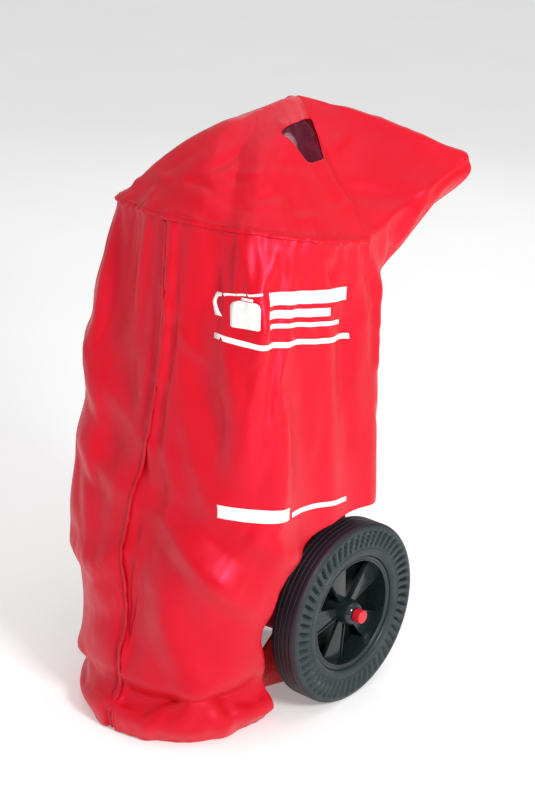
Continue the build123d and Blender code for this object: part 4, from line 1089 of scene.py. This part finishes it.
def tyre_profile():
    """Half the tyre's section as (axial, radius), from the bead to the tread's middle."""
    side = [(19.6, 95.2), (21.5, 95.6), (23.2, 97.0), (24.4, 99.6), (24.9, 103.0), (25.0, 106.0),
            (24.9, 108.6), (24.3, 109.2), (24.2, 110.2), (24.8, 110.9), (25.0, 112.0)]
    side += [(25.0, r) for r in (113.2, 116.0, 119.0, 122.0, 125.0, 128.0, 131.0, 134.0, 137.0, 138.8)]
    side += [(24.9, 140.6), (24.4, 143.2), (23.2, 146.2), (21.4, 148.4), (19.6, 149.5), (18.2, 149.9)]
    for k in (1, 0):
        groove = (k + 0.5) * GROOVE_PITCH
        bottom, lip = TREAD_RADIUS - GROOVE_DEPTH, GROOVE_HALF + 0.5
        side += [(groove + lip, TREAD_RADIUS), (groove + GROOVE_HALF, 149.6), (groove + 0.4, bottom)]
        side += [(groove - 0.4, bottom), (groove - GROOVE_HALF, 149.6), (groove - lip, TREAD_RADIUS)]
    return side


def build_tyre(name, sign):
    half = tyre_profile()
    profile = half + [(-a, r) for a, r in reversed(half)]
    columns = TYRE_COLUMNS_PER_CUT * SIDEWALL_CUTS
    a, r = (np.array(c) for c in zip(*profile))
    angle = np.arange(columns) / columns * 2 * pi
    turn = np.arange(columns) / TYRE_COLUMNS_PER_CUT
    vertices = np.zeros((len(profile), columns, 3))
    for k in range(len(profile)):
        depth = 0.0
        if CUT_INNER < r[k] < CUT_OUTER:
            slant = (r[k] - CUT_INNER) / (CUT_OUTER - CUT_INNER)
            place_in = (turn + 0.55 * slant) % 1.0
            width = 0.36 + 0.30 * slant
            ends = min(1.0, 4 * slant + 0.3, 4 * (1 - slant) + 0.25)
            depth = CUT_DEPTH * np.clip(1 - place_in / width, 0, 1) * ends
            depth = np.where(place_in < 0.06, depth * place_in / 0.06, depth)
        axial = a[k] - np.sign(a[k]) * depth
        vertices[k, :, 0] = sign * (TRACK_HALF + axial * MM)
        vertices[k, :, 1] = AXLE_Y - sign * np.sin(angle) * r[k] * MM
        vertices[k, :, 2] = WHEEL_R + np.cos(angle) * r[k] * MM
    count = len(profile)
    quads = grid_faces(count, columns, True).tolist()
    last = (count - 1) * columns
    quads += [(last + c, last + (c + 1) % columns, (c + 1) % columns, c) for c in range(columns)]
    piece = make_object(f"visual_{name}", vertices.reshape(-1, 3), quads)
    tidy_normals(piece)
    piece.data.materials.append(SIDEWALL)
    piece.data.materials.append(TREAD)
    centre = Vector((0, AXLE_Y, WHEEL_R))
    for face in piece.data.polygons:
        middle = face.center
        radius = ((middle.y - centre.y) ** 2 + (middle.z - centre.z) ** 2) ** 0.5
        face.material_index = 1 if radius > 0.1462 else 0
    smooth_by_angle(piece, 28)
    return piece


def tidy_normals(piece):
    mesh = bmesh.new()
    mesh.from_mesh(piece.data)
    bmesh.ops.recalc_face_normals(mesh, faces=mesh.faces)
    mesh.to_mesh(piece.data)
    mesh.free()


def lathe(profile, sign, columns=144):
    """Vertices and quads of a closed profile of (axial, radius) turned about the wheel's axis."""
    angle = np.arange(columns) / columns * 2 * pi
    rows = []
    for a, r in profile:
        rows.append(np.stack([
            np.full(columns, sign * (TRACK_HALF + a * MM)),
            AXLE_Y - sign * np.sin(angle) * r * MM,
            WHEEL_R + np.cos(angle) * r * MM,
        ], axis=1))
    quads = grid_faces(len(profile), columns, True).tolist()
    last = (len(profile) - 1) * columns
    quads += [(last + c, last + (c + 1) % columns, (c + 1) % columns, c) for c in range(columns)]
    return np.concatenate(rows), quads


def wheel_box(outline, low, high, turn, sign):
    """A flat outline of (radial, sideways) points between two axial positions, turned about the axle."""
    a = radians(turn)
    vertices = []
    for axial in (low, high):
        for along, side in outline:
            y = -sign * (sin(a) * along + cos(a) * side)
            z = cos(a) * along - sin(a) * side
            vertices.append((sign * (TRACK_HALF + axial * MM), AXLE_Y + y * MM, WHEEL_R + z * MM))
    n = len(outline)
    faces = [tuple(range(n)), tuple(reversed(range(n, 2 * n)))]
    faces += [(k, (k + 1) % n, n + (k + 1) % n, n + k) for k in range(n)]
    return vertices, faces


def build_rim(name, sign):
    parts = []
    ring = [(-20, 86.4), (-18.8, 86), (16, 86), (18.6, 86.6), (19.8, 88), (20, 89.2), (19.2, 90.0),
            (18.6, 91.2), (19.2, 92.4), (20, 93.2), (19.9, 94.4), (19, 95), (-19.4, 95), (-20, 94.4)]
    parts.append((*lathe(ring, sign), 0))
    hub = [(-32, 9.2), (-32, 20), (-31, 21), (12, 21), (20, 19.6), (24, 17.4), (26.4, 15.4), (27, 14.4),
           (27, 9.2)]
    parts.append((*lathe(hub, sign, 96), 0))
    # The disc behind the webs takes material 1, a near-black painted shade for the dark recess seen between the
    # webs
    back = [(-20, 17), (-18, 17), (-18, 88), (-20, 88)]
    parts.append((*lathe(back, sign, 96), 1))
    web = [(17, -7), (90, -25), (90, 25), (17, 7)]
    web = rounded_outline(web, 1.5, 2)
    for k in range(WEB_COUNT):
        turn = WEB_PHASE + k * 360.0 / WEB_COUNT
        parts.append((*wheel_box(web, -3, 3, turn, sign), 0))
        rib = [(20, 5.6), (86.5, 21.6), (86.5, 23.6), (20, 7.4)]
        parts.append((*wheel_box(rib, 2.8, 5.4, turn, sign), 0))
    vertices, faces, marks = [], [], []
    for points, quads, mark in parts:
        start = len(vertices)
        vertices += [tuple(p) for p in points]
        faces += [tuple(int(i) + start for i in q) for q in quads]
        marks += [mark] * len(quads)
    piece = make_object(f"visual_{name}", vertices, faces)
    piece.data.materials.append(RIM)
    piece.data.materials.append(RIM_BACK_PAINTED_SHADE)
    piece.data.polygons.foreach_set("material_index", marks)
    tidy_normals(piece)
    bevel = piece.modifiers.new("edges", "BEVEL")
    bevel.width, bevel.segments, bevel.angle_limit = 0.0006, 2, radians(40)
    bevel.use_clamp_overlap = True
    apply_modifiers(piece)
    smooth_by_angle(piece, 30)
    return piece


SIDEWALL = rubber("tyre_sidewall", (0.008, 0.017, 0.020), (0.017, 0.030, 0.034), 0.42)
TREAD = rubber("tyre_tread", (0.012, 0.005, 0.010), (0.026, 0.012, 0.020), 0.55)
RIM = paint("rim_gloss", (0.007, 0.013, 0.015), (0.014, 0.022, 0.024), 0.20)
# Near-black painted shade on the disc behind the webs, standing in for the shadow in the wheel's recess
RIM_BACK_PAINTED_SHADE = paint("rim_back_painted_shade", (0.001, 0.0012, 0.0014), (0.002, 0.0022, 0.0024), 0.5)


def build_wheels():
    for side, sign in (("left", -1), ("right", 1)):
        for kind, build, slot in (("tyre", build_tyre, "tyre_rubber"), ("rim", build_rim, "rim_plastic")):
            piece = build(f"{kind}_{side}", sign)
            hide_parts(f"{kind}_{side}")
            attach(piece, f"wheel_{side}")


build_prints()
build_seams()
build_wheels()
dress_cad_nodes()


# Stage --------------------------------------------------------------------------------------------
def build_stage():
    size = 40.0
    floor = make_object(
        "floor", [(-size, -size, 0), (size, -size, 0), (size, size, 0), (-size, size, 0)], [(0, 1, 2, 3)]
    )
    material, tree, shader, position = principled(
        "pale_floor", (0.90, 0.90, 0.90), 0.75, Emission_Color=(1.0, 1.0, 1.0, 1.0), Emission_Strength=0.24,
    )
    tint = ramp(tree, noise(tree, position, 3.0, 2.0), [(0.3, 0.88), (0.7, 0.91)])
    tree.links.new(tint, shader.inputs["Base Color"])
    floor.data.materials.append(material)


def add_light(name, location, target, size, power, colour=(1.0, 1.0, 1.0)):
    data = bpy.data.lights.new(name, "AREA")
    data.shape = "RECTANGLE"
    data.size, data.size_y = size
    data.energy = power
    data.color = colour
    light = bpy.data.objects.new(name, data)
    light.location = location
    light.rotation_euler = (Vector(target) - Vector(location)).to_track_quat("-Z", "Y").to_euler()
    bpy.context.scene.collection.objects.link(light)


def build_lights():
    middle = (0.0, 0.25, 0.45)
    add_light("key", (2.5, -0.4, 1.7), middle, (0.6, 0.6), 60.0)
    add_light("fill", (-1.6, -2.6, 1.6), middle, (2.2, 2.2), 10.0)
    add_light("top", (0.2, 0.6, 3.2), middle, (2.4, 2.4), 16.0)
    add_light("back", (-1.4, 2.6, 1.8), middle, (1.8, 1.8), 8.0)
    world = bpy.data.worlds.new("studio")
    world.use_nodes = True
    background = world.node_tree.nodes["Background"]
    background.inputs["Color"].default_value = (1.0, 1.0, 1.0, 1.0)
    background.inputs["Strength"].default_value = 0.52
    bpy.context.scene.world = world
    bpy.context.scene.view_settings.view_transform = "Standard"


def build_camera():
    data = bpy.data.cameras.new("camera")
    data.sensor_fit = "VERTICAL"
    data.sensor_height = SENSOR_HEIGHT
    data.lens = CAMERA_LENS
    camera = bpy.data.objects.new("camera", data)
    azimuth, elevation = radians(CAMERA_AZIMUTH), radians(CAMERA_ELEVATION)
    back = Vector((sin(azimuth) * cos(elevation), -cos(azimuth) * cos(elevation), sin(elevation)))
    camera.location = CAMERA_TARGET + back * CAMERA_DISTANCE
    camera.rotation_mode = "QUATERNION"
    camera.rotation_quaternion = back.to_track_quat("Z", "Y")
    bpy.context.scene.collection.objects.link(camera)
    bpy.context.scene.camera = camera


build_stage()
build_lights()
build_camera()
